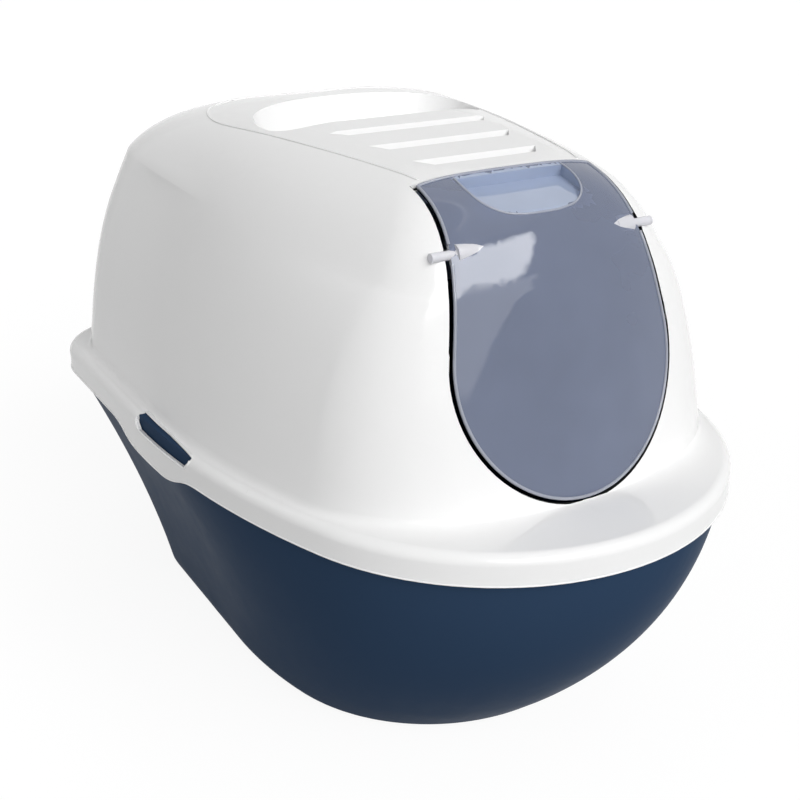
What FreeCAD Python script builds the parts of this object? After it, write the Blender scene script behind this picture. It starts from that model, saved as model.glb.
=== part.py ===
import FreeCAD, Part
import math
import os

import Sketcher

# Hooded litter box. +Z up, the entrance faces -Y, X runs across.
# The origin is under the middle of the tray, on the floor. Millimetres.

doc = FreeCAD.newDocument("litter_box")
V = FreeCAD.Vector

# Driving dimensions: alias, value, meaning.
SIZES = [
    ("rim_half", 200.0, "half width of the hood's skirt"),
    ("rim_nose", -270.0, "front of the skirt"),
    ("rim_tail", 270.0, "rear of the skirt"),
    ("rim_top", 200.0, "height of the flange above the floor"),
    ("rim_nose_share", 0.86, "front plan radius of the skirt in half widths"),
    ("rim_flank_share", 3.0, "flank plan radius of the skirt in half widths"),
    ("rim_tail_share", 0.3, "rear corner radius of the skirt in half widths"),
    ("skirt_drop", 20.0, "skirt below the flange"),
    ("skirt_shoulder", 7.0, "rounded upper edge of the skirt"),
    ("lobe_drop", 10.0, "side lobe below the skirt"),
    ("lobe_middle", 36.0, "middle of the lobe along the box"),
    ("lobe_half", 24.0, "half length of the lobe's lowest stretch"),
    ("lobe_blend", 70.0, "radius of the lobe's two soft bends"),
    ("hood_wall", 2.6, "wall of the hood and of the flap"),
    ("flange_side", 12.6, "flange beside the dome"),
    ("flange_front", 52.0, "flange before the dome"),
    ("flange_rear", 12.5, "flange behind the dome"),
    ("dome_height", 192.2, "roof's front above the flange"),
    ("dome_nose_share", 1.654, "front plan radius of the dome in half widths"),
    ("dome_corner_share", 0.598, "front corner radius at the flange in half widths"),
    ("dome_corner_loss", 0.395, "loss of that radius up to the roof in half widths"),
    ("dome_flank_share", 2.99, "flank plan radius of the dome in half widths"),
    ("dome_flank_start", 0.171, "where the flanks draw in, as a share of the rear"),
    ("dome_tail_share", 0.363, "rear corner radius of the dome in half widths"),
    ("side_draft", 0.116, "inward lean of the flanks in half widths"),
    ("side_bow", 0.258, "inward curve of the flanks in half widths"),
    ("front_draft", 39.2, "backward lean of the front up to the roof"),
    ("front_bow", 11.5, "backward curve of the front up to the roof"),
    ("tail_draft", 15.8, "forward lean of the rear up to the roof"),
    ("tail_bow", 15.1, "forward curve of the rear up to the roof"),
    ("brow_reach", 102.0, "front of the dome to front of the roof"),
    ("roof_lean", 4.1, "degrees that the roof rises to the rear"),
    ("roof_round_share", 0.2775, "rounding from roof to flanks in half widths"),
    ("brow_round", 55.0, "length of the rounding at the front"),
    ("tail_round_share", 0.68, "length of the rounding at the rear, as a share of the rear"),
    ("dish_share", 0.491, "half width of the carrying dish in half widths"),
    ("dish_length", 94.0, "dish along the box"),
    ("dish_arc_share", 1.413, "plan radius of the dish's rear in its half widths"),
    ("dish_end_share", 0.5, "plan radius of the dish's ends in its half widths"),
    ("dish_grip_share", 0.2935, "plan radius at the grip edge in its half widths"),
    ("dish_depth", 21.2, "dish floor below the roof at the grip edge"),
    ("dish_height", 24.0, "height over which the dish wall leans"),
    ("dish_draft", 9.0, "inward lean of the dish wall down to its floor"),
    ("grip_bar", 22.5, "rearmost vent to grip edge"),
    ("vent_field", 118.5, "flap's upper edge to rear of the rearmost vent"),
    ("vent_share", 0.344, "half length of the rearmost vent in half widths"),
    ("vent_width", 13.0, "vent size along the box"),
    ("vent_step", 8.0, "each vent shorter by, at each end"),
    ("vent_splay", 9.0, "vent end slant"),
    ("louvre_lean", 38.0, "degrees that a louvre leans down"),
    ("louvre_depth", 19.0, "louvre size down its slope"),
    ("louvre_wall", 2.0, "louvre thickness"),
    ("door_gap", 2.0, "gap round the flap"),
    ("door_back_gap", 2.8, "gap behind the flap's upper edge"),
    ("door_share", 0.4376, "radius of the flap's round lower end in half widths"),
    ("door_sill", 3.6, "flap above the flange"),
    ("door_top_share", 0.75, "flap's upper half width in its lower radii"),
    ("door_rise", 20.0, "height of the flap's outline above the roof's front"),
    ("door_inset", 1.0, "flap's upper edge before the roof's front"),
    ("pocket_share", 0.667, "half width of the finger pocket in the flap's upper half widths"),
    ("pocket_length", 38.0, "finger pocket size along its floor"),
    ("pocket_corner", 24.0, "round lower corners of the pocket"),
    ("pocket_lean", 13.0, "degrees that the pocket floor slopes"),
    ("pocket_rim", 3.0, "flap left behind the pocket"),
    ("pocket_depth", 9.5, "pocket depth at its rear"),
    ("pivot_reach", 57.0, "front of the dome to the flap's axis"),
    ("pivot_depth", 36.2, "flap's axis below the roof's front"),
    ("pin_radius", 3.0, "flap pin"),
    ("pin_play", 0.06, "running clearance round a pin"),
    ("pin_length", 12.2, "flap pin inside its bearing"),
    ("boss_length", 13.0, "flap pin boss along the pin"),
    ("boss_gap", 4.8, "flap pin boss to bearing"),
    ("boss_radius", 6.0, "flap pin boss"),
    ("bearing_share", 0.8756, "inner face of the bearing in the flap's lower radii"),
    ("bearing_wall", 3.0, "stock round the pin's bore"),
    ("bearing_length", 16.0, "bearing along the pin"),
    ("notch_share", 0.86, "snap notch width as a share of the pin"),
    ("notch_lean", 30.0, "degrees that the notch looks up"),
    ("notch_length", 20.0, "notch cut from the pin outwards"),
    ("window_rear", 57.0, "rear end of the clip window"),
    ("window_front", -31.0, "front end of the clip window"),
    ("window_drop", 10.5, "lower edge of the clip window below the flange"),
    ("window_depth", 10.0, "how far the window reaches in"),
    ("window_bevel", 6.0, "cut-off corner of the window"),
    ("clip_play", 0.7, "lug to skirt and lug to window ends"),
    ("clip_rise", 1.8, "lug above the tray's rim"),
    ("tray_wall", 2.8, "wall of the tray"),
    ("tray_play", 1.6, "tray rim inside the skirt"),
    ("tray_band", 18.0, "upright band of the tray's rim"),
    ("tray_lip", 9.0, "inward lip of the tray's rim"),
    ("tray_lip_thick", 4.0, "height of that lip"),
    ("tray_edge", 4.0, "rounded upper edge of the tray's rim"),
    ("tray_share", 0.725, "half width of the tray's bottom in the skirt's half widths"),
    ("tray_rake", 112.0, "bottom's front behind the skirt's front"),
    ("tray_heel", 70.0, "bottom's rear before the skirt's rear"),
    ("tray_nose_share", 0.952, "front plan radius of the bottom in its half widths"),
    ("tray_flank_share", 2.117, "flank plan radius of the bottom in its half widths"),
    ("tray_tail_share", 0.386, "rear corner radius of the bottom in its half widths"),
    ("tray_prow", 23.0, "outward swell of the front wall"),
    ("tray_waist", 6.0, "inward curve of the side walls"),
    ("tray_round", 18.0, "rounded bottom edge"),
    ("frame_margin", 9.5, "filter frame rib beyond the vents' ends"),
    ("frame_wall", 2.4, "filter frame rib thickness"),
    ("frame_setback", 19.0, "filter frame behind the flap's upper edge"),
    ("frame_heel", 7.0, "filter frame behind the cover's axis"),
    ("frame_depth", 30.0, "filter frame below the roof line"),
    ("hinge_setback", 8.5, "filter cover axis behind the rearmost vent"),
    ("hinge_depth", 21.0, "filter cover axis below the roof"),
    ("hinge_pin", 2.0, "filter cover pin radius"),
    ("cover_play", 0.5, "filter cover to frame rib"),
    ("cover_setback", 6.0, "filter cover's front behind the frame's front"),
    ("cover_heel", 4.0, "filter cover behind its axis"),
    ("cover_drop", 5.0, "filter cover's underside below its axis"),
    ("cover_floor", 2.0, "filter cover floor thickness"),
    ("cover_rim", 9.0, "filter cover wall height"),
    ("cover_wall", 2.0, "filter cover wall thickness"),
    ("slot_share", 0.5, "slot width as a share of the slot spacing"),
    ("slot_margin", 12.0, "slot end to cover edge"),
    ("tab_half", 12.0, "half width of the filter cover's finger tab"),
    ("tab_reach", 5.0, "finger tab beyond the filter cover"),
    ("filter_thick", 7.0, "carbon pad thickness"),
    ("filter_play", 0.5, "carbon pad to cover wall"),
    ("filter_corner", 4.0, "carbon pad corner radius"),
    ("spare", 6.0, "how far a cutting solid runs past what it cuts"),
]

SLOT_COUNT = 9
VENT_COUNT = 3

# Sizes that follow from the driving ones.
DERIVED = {
    "rim_nose_radius": "rim_half * rim_nose_share",
    "rim_side_radius": "rim_half * rim_flank_share",
    "rim_tail_radius": "rim_half * rim_tail_share",
    "dome_half": "rim_half - flange_side",
    "dome_nose": "rim_nose + flange_front",
    "dome_tail": "rim_tail - flange_rear",
    "dome_nose_radius": "dome_half * dome_nose_share",
    "dome_corner_radius": "dome_half * dome_corner_share",
    "dome_side_radius": "dome_half * dome_flank_share",
    "dome_side_centre": "dome_tail * dome_flank_start",
    "dome_tail_radius": "dome_half * dome_tail_share",
    "roof_height": "rim_top + dome_height",
    "roof_front": "dome_nose + brow_reach",
    "roof_round": "dome_half * roof_round_share",
    "tail_round": "dome_tail * tail_round_share",
    "round_corner": "dome_half * 0.032",
    "round_shift": "dome_tail * 0.291",
    "round_tail": "dome_tail_radius * 0.294",
    "door_radius": "dome_half * door_share",
    "door_centre": "rim_top + door_sill + door_radius",
    "door_top_half": "door_radius * door_top_share",
    "door_back": "roof_front - door_inset",
    "vent_back": "door_back + vent_field",
    "vent_pitch": "vent_field * 0.3544",
    "vent_half": "dome_half * vent_share",
    "dish_half": "dome_half * dish_share",
    "dish_front": "vent_back + grip_bar",
    "dish_rear": "dish_front + dish_length",
    "dish_arc": "dish_half * dish_arc_share",
    "dish_corner": "dish_half * dish_end_share",
    "dish_grip_corner": "dish_half * dish_grip_share",
    "dish_floor": "roof_height + (dish_front - roof_front) * tan(roof_lean * 1 deg) - dish_depth",
    "pocket_half": "door_top_half * pocket_share",
    "pivot_y": "dome_nose + pivot_reach",
    "pivot_z": "roof_height - pivot_depth",
    "bearing_start": "door_radius * bearing_share",
    "boss_inner": "bearing_start - boss_gap - boss_length",
    "pin_end": "bearing_start + pin_length",
    "window_sill": "rim_top - window_drop",
    "tray_half": "rim_half * tray_share",
    "tray_nose": "rim_nose + tray_rake",
    "tray_tail": "rim_tail - tray_heel",
    "tray_nose_radius": "tray_half * tray_nose_share",
    "tray_side_radius": "tray_half * tray_flank_share",
    "tray_tail_radius": "tray_half * tray_tail_share",
    "frame_half": "vent_half + frame_margin",
    "frame_front": "door_back + frame_setback",
    "hinge_y": "vent_back + hinge_setback",
    "frame_rear": "hinge_y + frame_heel",
    "cover_length": "hinge_y - frame_front - cover_setback",
    "slot_pitch": "(cover_length + cover_heel - 2 * slot_margin - 2) / (SLOT_COUNT - 1)",
    "slot_width": "slot_pitch * slot_share",
}

sheet = doc.addObject("Spreadsheet::Sheet", "dims")
for row, (alias, number, meaning) in enumerate(SIZES, start=1):
    sheet.set("A%d" % row, meaning)
    sheet.set("B%d" % row, "%s" % number)
    sheet.setAlias("B%d" % row, alias)
doc.recompute()


ALIASES = {alias for alias, _, _ in SIZES}


def named(expression):
    """Write an expression in terms of the sheet's cells."""
    words = []
    word = ""
    for letter in expression + " ":
        if letter.isalnum() or letter == "_":
            word += letter
            continue
        if word in ALIASES:
            words.append("dims." + word)
        elif word in DERIVED:
            words.append("(%s)" % named(DERIVED[word]))
        elif word == "SLOT_COUNT":
            words.append("%d" % SLOT_COUNT)
        else:
            words.append(word)
        words.append(letter)
        word = ""
    return "".join(words).strip()


def value(expression):
    """The number that an expression in the sheet's names gives now."""
    return float(sheet.evalExpression(named(expression)))


# Sketch helpers

def new_body(name):
    return doc.addObject("PartDesign::Body", name)


def origin_plane(body, role):
    for feature in body.Origin.OriginFeatures:
        if feature.Role == role:
            return feature
    raise ValueError("no plane " + role)


def new_sketch(body, name, role, level=None, lean=None):
    """A sketch on one of the body's planes, level along its normal, lean in degrees about X."""
    sketch = body.newObject("Sketcher::SketchObject", name)
    sketch.AttachmentSupport = [(origin_plane(body, role), "")]
    sketch.MapMode = "FlatFace"
    if lean is not None:
        sketch.AttachmentOffset = FreeCAD.Placement(V(), FreeCAD.Rotation(V(1, 0, 0), value(lean)))
        sketch.setExpression("AttachmentOffset.Rotation.Angle", named(lean))
    if level is not None:
        sketch.setExpression("AttachmentOffset.Base.z", named(level))
    return sketch


def bind(sketch, kind, places, expression):
    """Add a dimension and tie it to the sheet, with its points in the order that makes it positive."""
    size = value(expression)
    if size < 0:
        expression = "-(%s)" % expression
        places = places[2:] + places[:2]
    index = sketch.addConstraint(Sketcher.Constraint(kind, *places, abs(size)))
    name = "size_%d" % index
    sketch.renameConstraint(index, name)
    sketch.setExpression("Constraints." + name, named(expression))


def place_point(sketch, edge, end, across, up):
    """Tie one point of a sketch to the sketch's origin."""
    for kind, expression, axis in (("DistanceX", across, -2), ("DistanceY", up, -1)):
        if expression is None:
            continue
        if expression == "0":
            sketch.addConstraint(Sketcher.Constraint("PointOnObject", edge, end, axis))
        else:
            bind(sketch, kind, (-1, 1, edge, end), expression)


def polygon(sketch, corners):
    """A closed outline of straight edges through corners given as pairs of expressions."""
    points = [V(value(x), value(y), 0) for x, y in corners]
    count = len(points)
    for index in range(count):
        sketch.addGeometry(Part.LineSegment(points[index], points[(index + 1) % count]), False)
    for index in range(count):
        sketch.addConstraint(Sketcher.Constraint("Coincident", index, 2, (index + 1) % count, 1))
        place_point(sketch, index, 1, *corners[index])


def arc(centre, radius, start, end):
    return Part.ArcOfCircle(Part.Circle(centre, V(0, 0, 1), radius), start, end)


def corner_centre(nose, side, nose_reach, side_reach):
    """Front right crossing of two circles about the nose and side centres."""
    gap = side - nose
    along = (nose_reach ** 2 - side_reach ** 2 + gap.Length ** 2) / (2 * gap.Length)
    across = math.sqrt(nose_reach ** 2 - along ** 2)
    unit = gap / gap.Length
    middle = nose + unit * along
    normal = V(-unit.y, unit.x, 0)
    return max((middle + normal * across, middle - normal * across), key=lambda p: p.x - p.y)


def bullet(body, name, level, size, flip=1, lean=None):
    """A level outline with a round nose, drawn-in flanks and a square tail with round corners.

    size holds expressions: half, nose, tail, nose_radius, flank_radius, tail_radius, and
    corner_radius with flank_centre where a corner lies between nose and flank. The nose points to
    -Y, or to +Y where flip is -1. lean tilts the outline up towards +Y.
    """
    sketch = new_sketch(body, name, "XY_Plane", level, lean=lean)
    number = {key: value(text) for key, text in size.items()}
    half = number["half"]
    nose_radius = number["nose_radius"]
    flank_radius = number["flank_radius"]
    tail_radius = number["tail_radius"]
    nose = flip * number["nose"]
    tail = flip * number["tail"]
    three_arcs = "corner_radius" in number
    nose_mid = V(0, nose + nose_radius, 0)
    if three_arcs:
        flank_mid = V(half - flank_radius, flip * number["flank_centre"], 0)
        corner_radius = number["corner_radius"]
        corner_mid = corner_centre(
            nose_mid, flank_mid, nose_radius - corner_radius, flank_radius - corner_radius)
        nose_turn = math.atan2(corner_mid.y - nose_mid.y, corner_mid.x - nose_mid.x)
        flank_turn = math.atan2(corner_mid.y - flank_mid.y, corner_mid.x - flank_mid.x)
    else:
        rise = math.sqrt((flank_radius - nose_radius) ** 2 - (flank_radius - half) ** 2)
        sense = 1 if flank_radius > nose_radius else -1
        flank_mid = V(half - flank_radius, nose_mid.y + sense * rise, 0)
        nose_turn = math.atan2(sense * (nose_mid.y - flank_mid.y), sense * (nose_mid.x - flank_mid.x))
        flank_turn = nose_turn
    tail_mid = V(half - tail_radius, tail - tail_radius, 0)

    # Edges anticlockwise from the nose, first the right side, then the tail, then the left side.
    right = []
    if three_arcs:
        right.append((corner_mid, corner_radius, nose_turn, flank_turn, "corner_radius"))
    right.append((flank_mid, flank_radius, flank_turn, 0.0, "flank_radius"))
    edges = [arc(nose_mid, nose_radius, -math.pi - nose_turn, nose_turn)]
    radii = ["nose_radius"]
    for centre, radius, start, end, key in right:
        edges.append(arc(centre, radius, start, end))
        radii.append(key)
    edges.append(Part.LineSegment(V(half, flank_mid.y, 0), V(half, tail_mid.y, 0)))
    radii.append("right line")
    edges.append(arc(tail_mid, tail_radius, 0.0, math.pi / 2))
    radii.append("tail_radius")
    edges.append(Part.LineSegment(V(tail_mid.x, tail, 0), V(-tail_mid.x, tail, 0)))
    radii.append("tail line")
    edges.append(arc(V(-tail_mid.x, tail_mid.y, 0), tail_radius, math.pi / 2, math.pi))
    radii.append("tail_radius")
    edges.append(Part.LineSegment(V(-half, tail_mid.y, 0), V(-half, flank_mid.y, 0)))
    radii.append("left line")
    for centre, radius, start, end, key in reversed(right):
        edges.append(arc(V(-centre.x, centre.y, 0), radius, math.pi - end, math.pi - start))
        radii.append(key)
    sketch.addGeometry(edges, False)
    count = len(edges)
    for index in range(count):
        sketch.addConstraint(Sketcher.Constraint("Tangent", index, 2, (index + 1) % count, 1))

    sign = "" if flip > 0 else "-"
    place_point(sketch, 0, 3, "0", "%s(%s) + %s" % (sign, size["nose"], size["nose_radius"]))
    for index, key in enumerate(radii):
        if key == "right line":
            sketch.addConstraint(Sketcher.Constraint("Vertical", index))
            place_point(sketch, index, 1, size["half"], None)
        elif key == "left line":
            sketch.addConstraint(Sketcher.Constraint("Vertical", index))
            place_point(sketch, index, 1, "-(%s)" % size["half"], None)
        elif key == "tail line":
            sketch.addConstraint(Sketcher.Constraint("Horizontal", index))
            place_point(sketch, index, 1, None, "%s(%s)" % (sign, size["tail"]))
        else:
            bind(sketch, "Radius", (index,), size[key])
        if key == "flank_radius" and three_arcs:
            place_point(sketch, index, 3, None, "%s(%s)" % (sign, size["flank_centre"]))
    if flip < 0:
        sketch.AttachmentOffset = FreeCAD.Placement(
            sketch.AttachmentOffset.Base, FreeCAD.Rotation(V(0, 0, 1), 180))
        sketch.setExpression("AttachmentOffset.Base.z", named(level))
    return sketch


# Feature helpers

def loft(body, name, sketches):
    feature = body.newObject("PartDesign::AdditiveLoft", name)
    feature.Profile = sketches[0]
    feature.Sections = sketches[1:]
    feature.Ruled = False
    doc.recompute()
    return feature


def pad(body, name, sketch, length, midplane=False):
    feature = body.newObject("PartDesign::Pad", name)
    feature.Profile = sketch
    feature.setExpression("Length", named(length))
    if midplane:
        feature.SideType = "Symmetric"
    doc.recompute()
    return feature


def through_pocket(body, name, sketch):
    """Cut a sketch right through, both ways."""
    before = body.Shape.Volume
    feature = body.newObject("PartDesign::Pocket", name)
    feature.Profile = sketch
    feature.SideType = "Symmetric"
    feature.Type = "ThroughAll"
    doc.recompute()
    if not feature.Shape.Volume < before:
        raise RuntimeError(name + " cuts nothing")
    return feature


def round_edges(body, name, chosen, radius):
    """Fillet the edges of the body's tip that chosen picks out."""
    base = body.Tip
    names = ["Edge%d" % number for number, edge in enumerate(base.Shape.Edges, start=1) if chosen(edge)]
    if not names:
        raise RuntimeError(name + " found no edge")
    feature = body.newObject("PartDesign::Fillet", name)
    feature.Base = (base, names)
    feature.setExpression("Radius", named(radius))
    doc.recompute()
    return feature


def lean_to(item, lean, origin, corner=("0", "0", "0")):
    """Turn an item by lean degrees about X and set its own origin at corner, both seen from origin."""
    turn = "(%s) * 1 deg" % lean
    across, along, up = ("(%s)" % text for text in corner)
    item.Placement = FreeCAD.Placement(V(), FreeCAD.Rotation(V(1, 0, 0), value(lean) or 1.0))
    item.setExpression("Placement.Rotation.Angle", named(lean))
    item.setExpression("Placement.Base.x", named("%s + %s" % (origin[0], across)))
    item.setExpression("Placement.Base.y", named(
        "%s + %s * cos(%s) - %s * sin(%s)" % (origin[1], along, turn, up, turn)))
    item.setExpression("Placement.Base.z", named(
        "%s + %s * sin(%s) + %s * cos(%s)" % (origin[2], along, turn, up, turn)))
    return item


def box(name, corner, size, lean="0", origin=("0", "0", "0")):
    """A Part::Box from a corner and sizes given as expressions, in a frame leant about X at origin."""
    item = doc.addObject("Part::Box", name)
    for side, text in zip(("Length", "Width", "Height"), size):
        item.setExpression(side, named(text))
    return lean_to(item, lean, origin, corner)


def cross_rod(name, radius, start, length, y, z):
    """A cylinder along X."""
    item = doc.addObject("Part::Cylinder", name)
    item.Placement = FreeCAD.Placement(V(), FreeCAD.Rotation(V(0, 1, 0), 90))
    item.setExpression("Radius", named(radius))
    item.setExpression("Height", named(length))
    for axis, text in zip("xyz", (start, y, z)):
        item.setExpression("Placement.Base." + axis, named(text))
    return item


def cut(name, base, tool):
    item = doc.addObject("Part::Cut", name)
    item.Base = base
    item.Tool = tool
    doc.recompute()
    return item


def common(name, base, tool):
    item = doc.addObject("Part::Common", name)
    item.Base = base
    item.Tool = tool
    doc.recompute()
    return item


def fuse(name, shapes):
    item = doc.addObject("Part::MultiFuse", name)
    item.Shapes = shapes
    doc.recompute()
    return item


def both_sides(start, length):
    """Starts along X of the same piece on the right and on the left."""
    return [("right", start), ("left", "-(%s) - (%s)" % (start, length))]


def roof_at(along):
    """Expression of the roof's height at a place along the box."""
    return "roof_height + (%s - roof_front) * tan(roof_lean * 1 deg)" % along


# The dome, as outer form and as cavity

FOOT = "-8"
WALL_SHARES = [0.24, 0.5]
ROUND_TURNS = [0.0, 30.0, 60.0, 90.0]


def wall_outline(height, inset, spread=None):
    """Expressions of the dome's plan outline at a height above the flange, drawn in by inset.

    spread is the share of the roof's rounding that is taken up there, None below the rounding.
    """
    front_rise = "(%s)" % height
    side_rise = front_rise
    rear_rise = front_rise
    if spread:
        side_rise = "(%s + (dome_side_centre - roof_front) * tan(roof_lean * 1 deg))" % height
        rear_rise = "(%s + (dome_tail - roof_front) * tan(roof_lean * 1 deg))" % height
    front_rise, side_rise, rear_rise = (
        "(%s / dome_height)" % rise for rise in (front_rise, side_rise, rear_rise))
    share = spread if spread else "0"
    draw = "(%s + (%%s - %s) * %s)" % (inset, inset, share)
    side = draw % "roof_round"
    front = draw % "brow_round"
    rear = draw % "tail_round"
    return {
        "half": "dome_half * (1 - side_draft * %s - side_bow * %s^2) - %s" % (side_rise, side_rise, side),
        "nose": "dome_nose + front_draft * %s + front_bow * %s^2 + %s" % (front_rise, front_rise, front),
        "tail": "dome_tail - tail_draft * %s - tail_bow * %s^2 - %s" % (rear_rise, rear_rise, rear),
        "nose_radius": "dome_nose_radius - %s" % side,
        "corner_radius": "dome_corner_radius - dome_half * dome_corner_loss * %s - %s - round_corner * %s" % (
            front_rise, inset, share),
        "flank_radius": "dome_side_radius - %s" % side,
        "flank_centre": "dome_side_centre - round_shift * %s" % share,
        "tail_radius": "dome_tail_radius - %s - round_tail * %s" % (inset, share),
    }


def dome(body, prefix, inset):
    """Loft the dome's walls and the round shoulders up to the flat, sloping roof."""
    outlines = []
    for number, height in enumerate([FOOT] + ["dome_height * %s" % share for share in WALL_SHARES]):
        name = "%s_wall_%d" % (prefix, number)
        outlines.append(bullet(body, name, "rim_top + %s" % height, wall_outline(height, inset)))
    for number, turn in enumerate(ROUND_TURNS):
        name = "%s_round_%d" % (prefix, number)
        share = "(1 - cos(%s deg))" % turn
        depth = "(%s + (roof_round - %s) * (1 - sin(%s deg)))" % (inset, inset, turn)
        level = "roof_height - roof_front * tan(roof_lean * 1 deg) - %s" % depth
        height = "roof_height - rim_top - %s" % depth
        outlines.append(bullet(body, name, level, wall_outline(height, inset, share), lean="roof_lean"))
    spring = len(WALL_SHARES) + 2
    loft(body, prefix + "_walls", outlines[:spring])
    loft(body, prefix + "_shoulders", outlines[spring - 1:])


# Hood: outer form

def rim_outline(inset):
    return {
        "half": "rim_half - (%s)" % inset,
        "nose": "rim_nose + (%s)" % inset,
        "tail": "rim_tail - (%s)" % inset,
        "nose_radius": "rim_nose_radius - (%s)" % inset,
        "flank_radius": "rim_side_radius - (%s)" % inset,
        "tail_radius": "rim_tail_radius - (%s)" % inset,
    }


def at_level(height, kinds):
    """Pick edges that lie level at a height and whose curve is one of kinds."""
    def chosen(edge):
        limits = edge.BoundBox
        level = abs(limits.ZMin - height) < 0.01 and abs(limits.ZMax - height) < 0.01
        return level and edge.Curve.TypeId in kinds
    return chosen


def lobe_cut(body, name, side):
    """Trim the skirt's lower edge on one side of the lobe, with two tangent arcs up to the edge."""
    low = "rim_top - skirt_drop - lobe_drop"
    edge = "rim_top - skirt_drop"
    start = "lobe_middle + %d * lobe_half" % side
    far = "rim_tail + 2 * spare" if side > 0 else "rim_nose - 2 * spare"
    floor = low + " - spare"
    radius = value("lobe_blend")
    drop = value("lobe_drop")
    length = math.sqrt(4 * radius * drop - drop ** 2)
    bend = math.asin(length / 2 / radius)
    start_y = value(start)
    low_z = value(low)
    edge_z = value(edge)
    far_y = value(far)
    floor_z = value(floor)
    end_y = start_y + side * length
    down = -math.pi / 2
    up = math.pi / 2
    if side > 0:
        lower_arc = arc(V(start_y, low_z + radius, 0), radius, down, down + bend)
        upper_arc = arc(V(end_y, edge_z - radius, 0), radius, up, up + bend)
        rest, meet = 1, 2
    else:
        lower_arc = arc(V(start_y, low_z + radius, 0), radius, down - bend, down)
        upper_arc = arc(V(end_y, edge_z - radius, 0), radius, up - bend, up)
        rest, meet = 2, 1
    sketch = new_sketch(body, name + "_profile", "YZ_Plane")
    sketch.addGeometry([
        lower_arc,
        upper_arc,
        Part.LineSegment(V(end_y, edge_z, 0), V(far_y, edge_z, 0)),
        Part.LineSegment(V(far_y, edge_z, 0), V(far_y, floor_z, 0)),
        Part.LineSegment(V(far_y, floor_z, 0), V(start_y, floor_z, 0)),
        Part.LineSegment(V(start_y, floor_z, 0), V(start_y, low_z, 0)),
    ], False)
    sketch.addConstraint(Sketcher.Constraint("Tangent", 0, meet, 1, meet))
    sketch.addConstraint(Sketcher.Constraint("Coincident", 1, rest, 2, 1))
    for index in (2, 3, 4):
        sketch.addConstraint(Sketcher.Constraint("Coincident", index, 2, index + 1, 1))
    sketch.addConstraint(Sketcher.Constraint("Coincident", 5, 2, 0, rest))
    for index in (2, 4):
        sketch.addConstraint(Sketcher.Constraint("Horizontal", index))
    for index in (3, 5):
        sketch.addConstraint(Sketcher.Constraint("Vertical", index))
    for index in (0, 1):
        sketch.addConstraint(Sketcher.Constraint("Vertical", index, 3, index, rest))
        bind(sketch, "Radius", (index,), "lobe_blend")
    place_point(sketch, 0, rest, start, low)
    place_point(sketch, 2, 1, None, edge)
    place_point(sketch, 3, 2, far, floor)
    return through_pocket(body, name, sketch)


ROUND_OR_STRAIGHT = ("Part::GeomCircle", "Part::GeomLine")
RIM_FOOT = "rim_top - skirt_drop - lobe_drop"

form = new_body("hood_form")
dome(form, "dome", "0")
pad(form, "rim", bullet(form, "rim_outline", RIM_FOOT, rim_outline("0")), "skirt_drop + lobe_drop")
round_edges(form, "rim_shoulder", at_level(value("rim_top"), ROUND_OR_STRAIGHT), "skirt_shoulder")
lobe_cut(form, "lobe_front", -1)
lobe_cut(form, "lobe_rear", 1)

# Hood: cavity

cavity = new_body("hood_cavity")
dome(cavity, "room", "hood_wall")
pad(cavity, "rim_room", bullet(cavity, "rim_room_outline", RIM_FOOT + " - spare", rim_outline("hood_wall")),
    "skirt_drop + lobe_drop + spare - hood_wall")
round_edges(cavity, "rim_room_shoulder", at_level(value("rim_top - hood_wall"), ROUND_OR_STRAIGHT),
            "skirt_shoulder - hood_wall")

# Carrying dish in the roof

def dish_outline(inset):
    return {
        "half": "dish_half - (%s)" % inset,
        "nose": "dish_rear - (%s)" % inset,
        "tail": "dish_front + (%s)" % inset,
        "nose_radius": "dish_arc - (%s)" % inset,
        "flank_radius": "dish_corner - (%s)" % inset,
        "tail_radius": "dish_grip_corner - (%s)" % inset,
    }


def dish(name, wall):
    body = new_body(name)
    floor = bullet(body, name + "_floor", "dish_floor - %s" % wall, dish_outline("dish_draft - %s" % wall), flip=-1)
    mouth = bullet(body, name + "_mouth", "dish_floor - %s + 2 * dish_height" % wall,
                   dish_outline("-dish_draft - %s" % wall), flip=-1)
    loft(body, name + "_loft", [floor, mouth])
    return body


dish_space = dish("dish_space", "0")
dish_wall = dish("dish_wall", "hood_wall")

# Louvred vents

louvres = []
slots = []
for number in range(VENT_COUNT):
    back = "(vent_back - %d * vent_pitch)" % number
    half = "(vent_half - %d * vent_step)" % number
    place = ("0", back, roof_at(back))
    plate = box("louvre_%d" % number, ("-%s - 1" % half, "-louvre_depth", "-louvre_wall"),
                ("2 * %s + 2" % half, "louvre_depth + hood_wall", "louvre_wall"),
                "louvre_lean + roof_lean", place)
    wedge = doc.addObject("Part::Wedge", "slot_%d" % number)
    wedge.setExpression("Ymin", named("-vent_width"))
    wedge.setExpression("Ymax", "0")
    for first, last, width in (("Xmin", "Xmax", half + " - vent_splay"), ("X2min", "X2max", half)):
        wedge.setExpression(first, named("-(%s)" % width))
        wedge.setExpression(last, named(width))
    for first, last in (("Zmin", "Zmax"), ("Z2min", "Z2max")):
        wedge.setExpression(first, named("-hood_wall - 3"))
        wedge.setExpression(last, named("spare"))
    lean_to(wedge, "roof_lean", place)
    doc.recompute()
    louvres.append(plate)
    slots.append(cut("vent_%d" % number, wedge, plate))

# Bearings of the flap and ribs of the filter frame, left standing in the cavity

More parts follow.
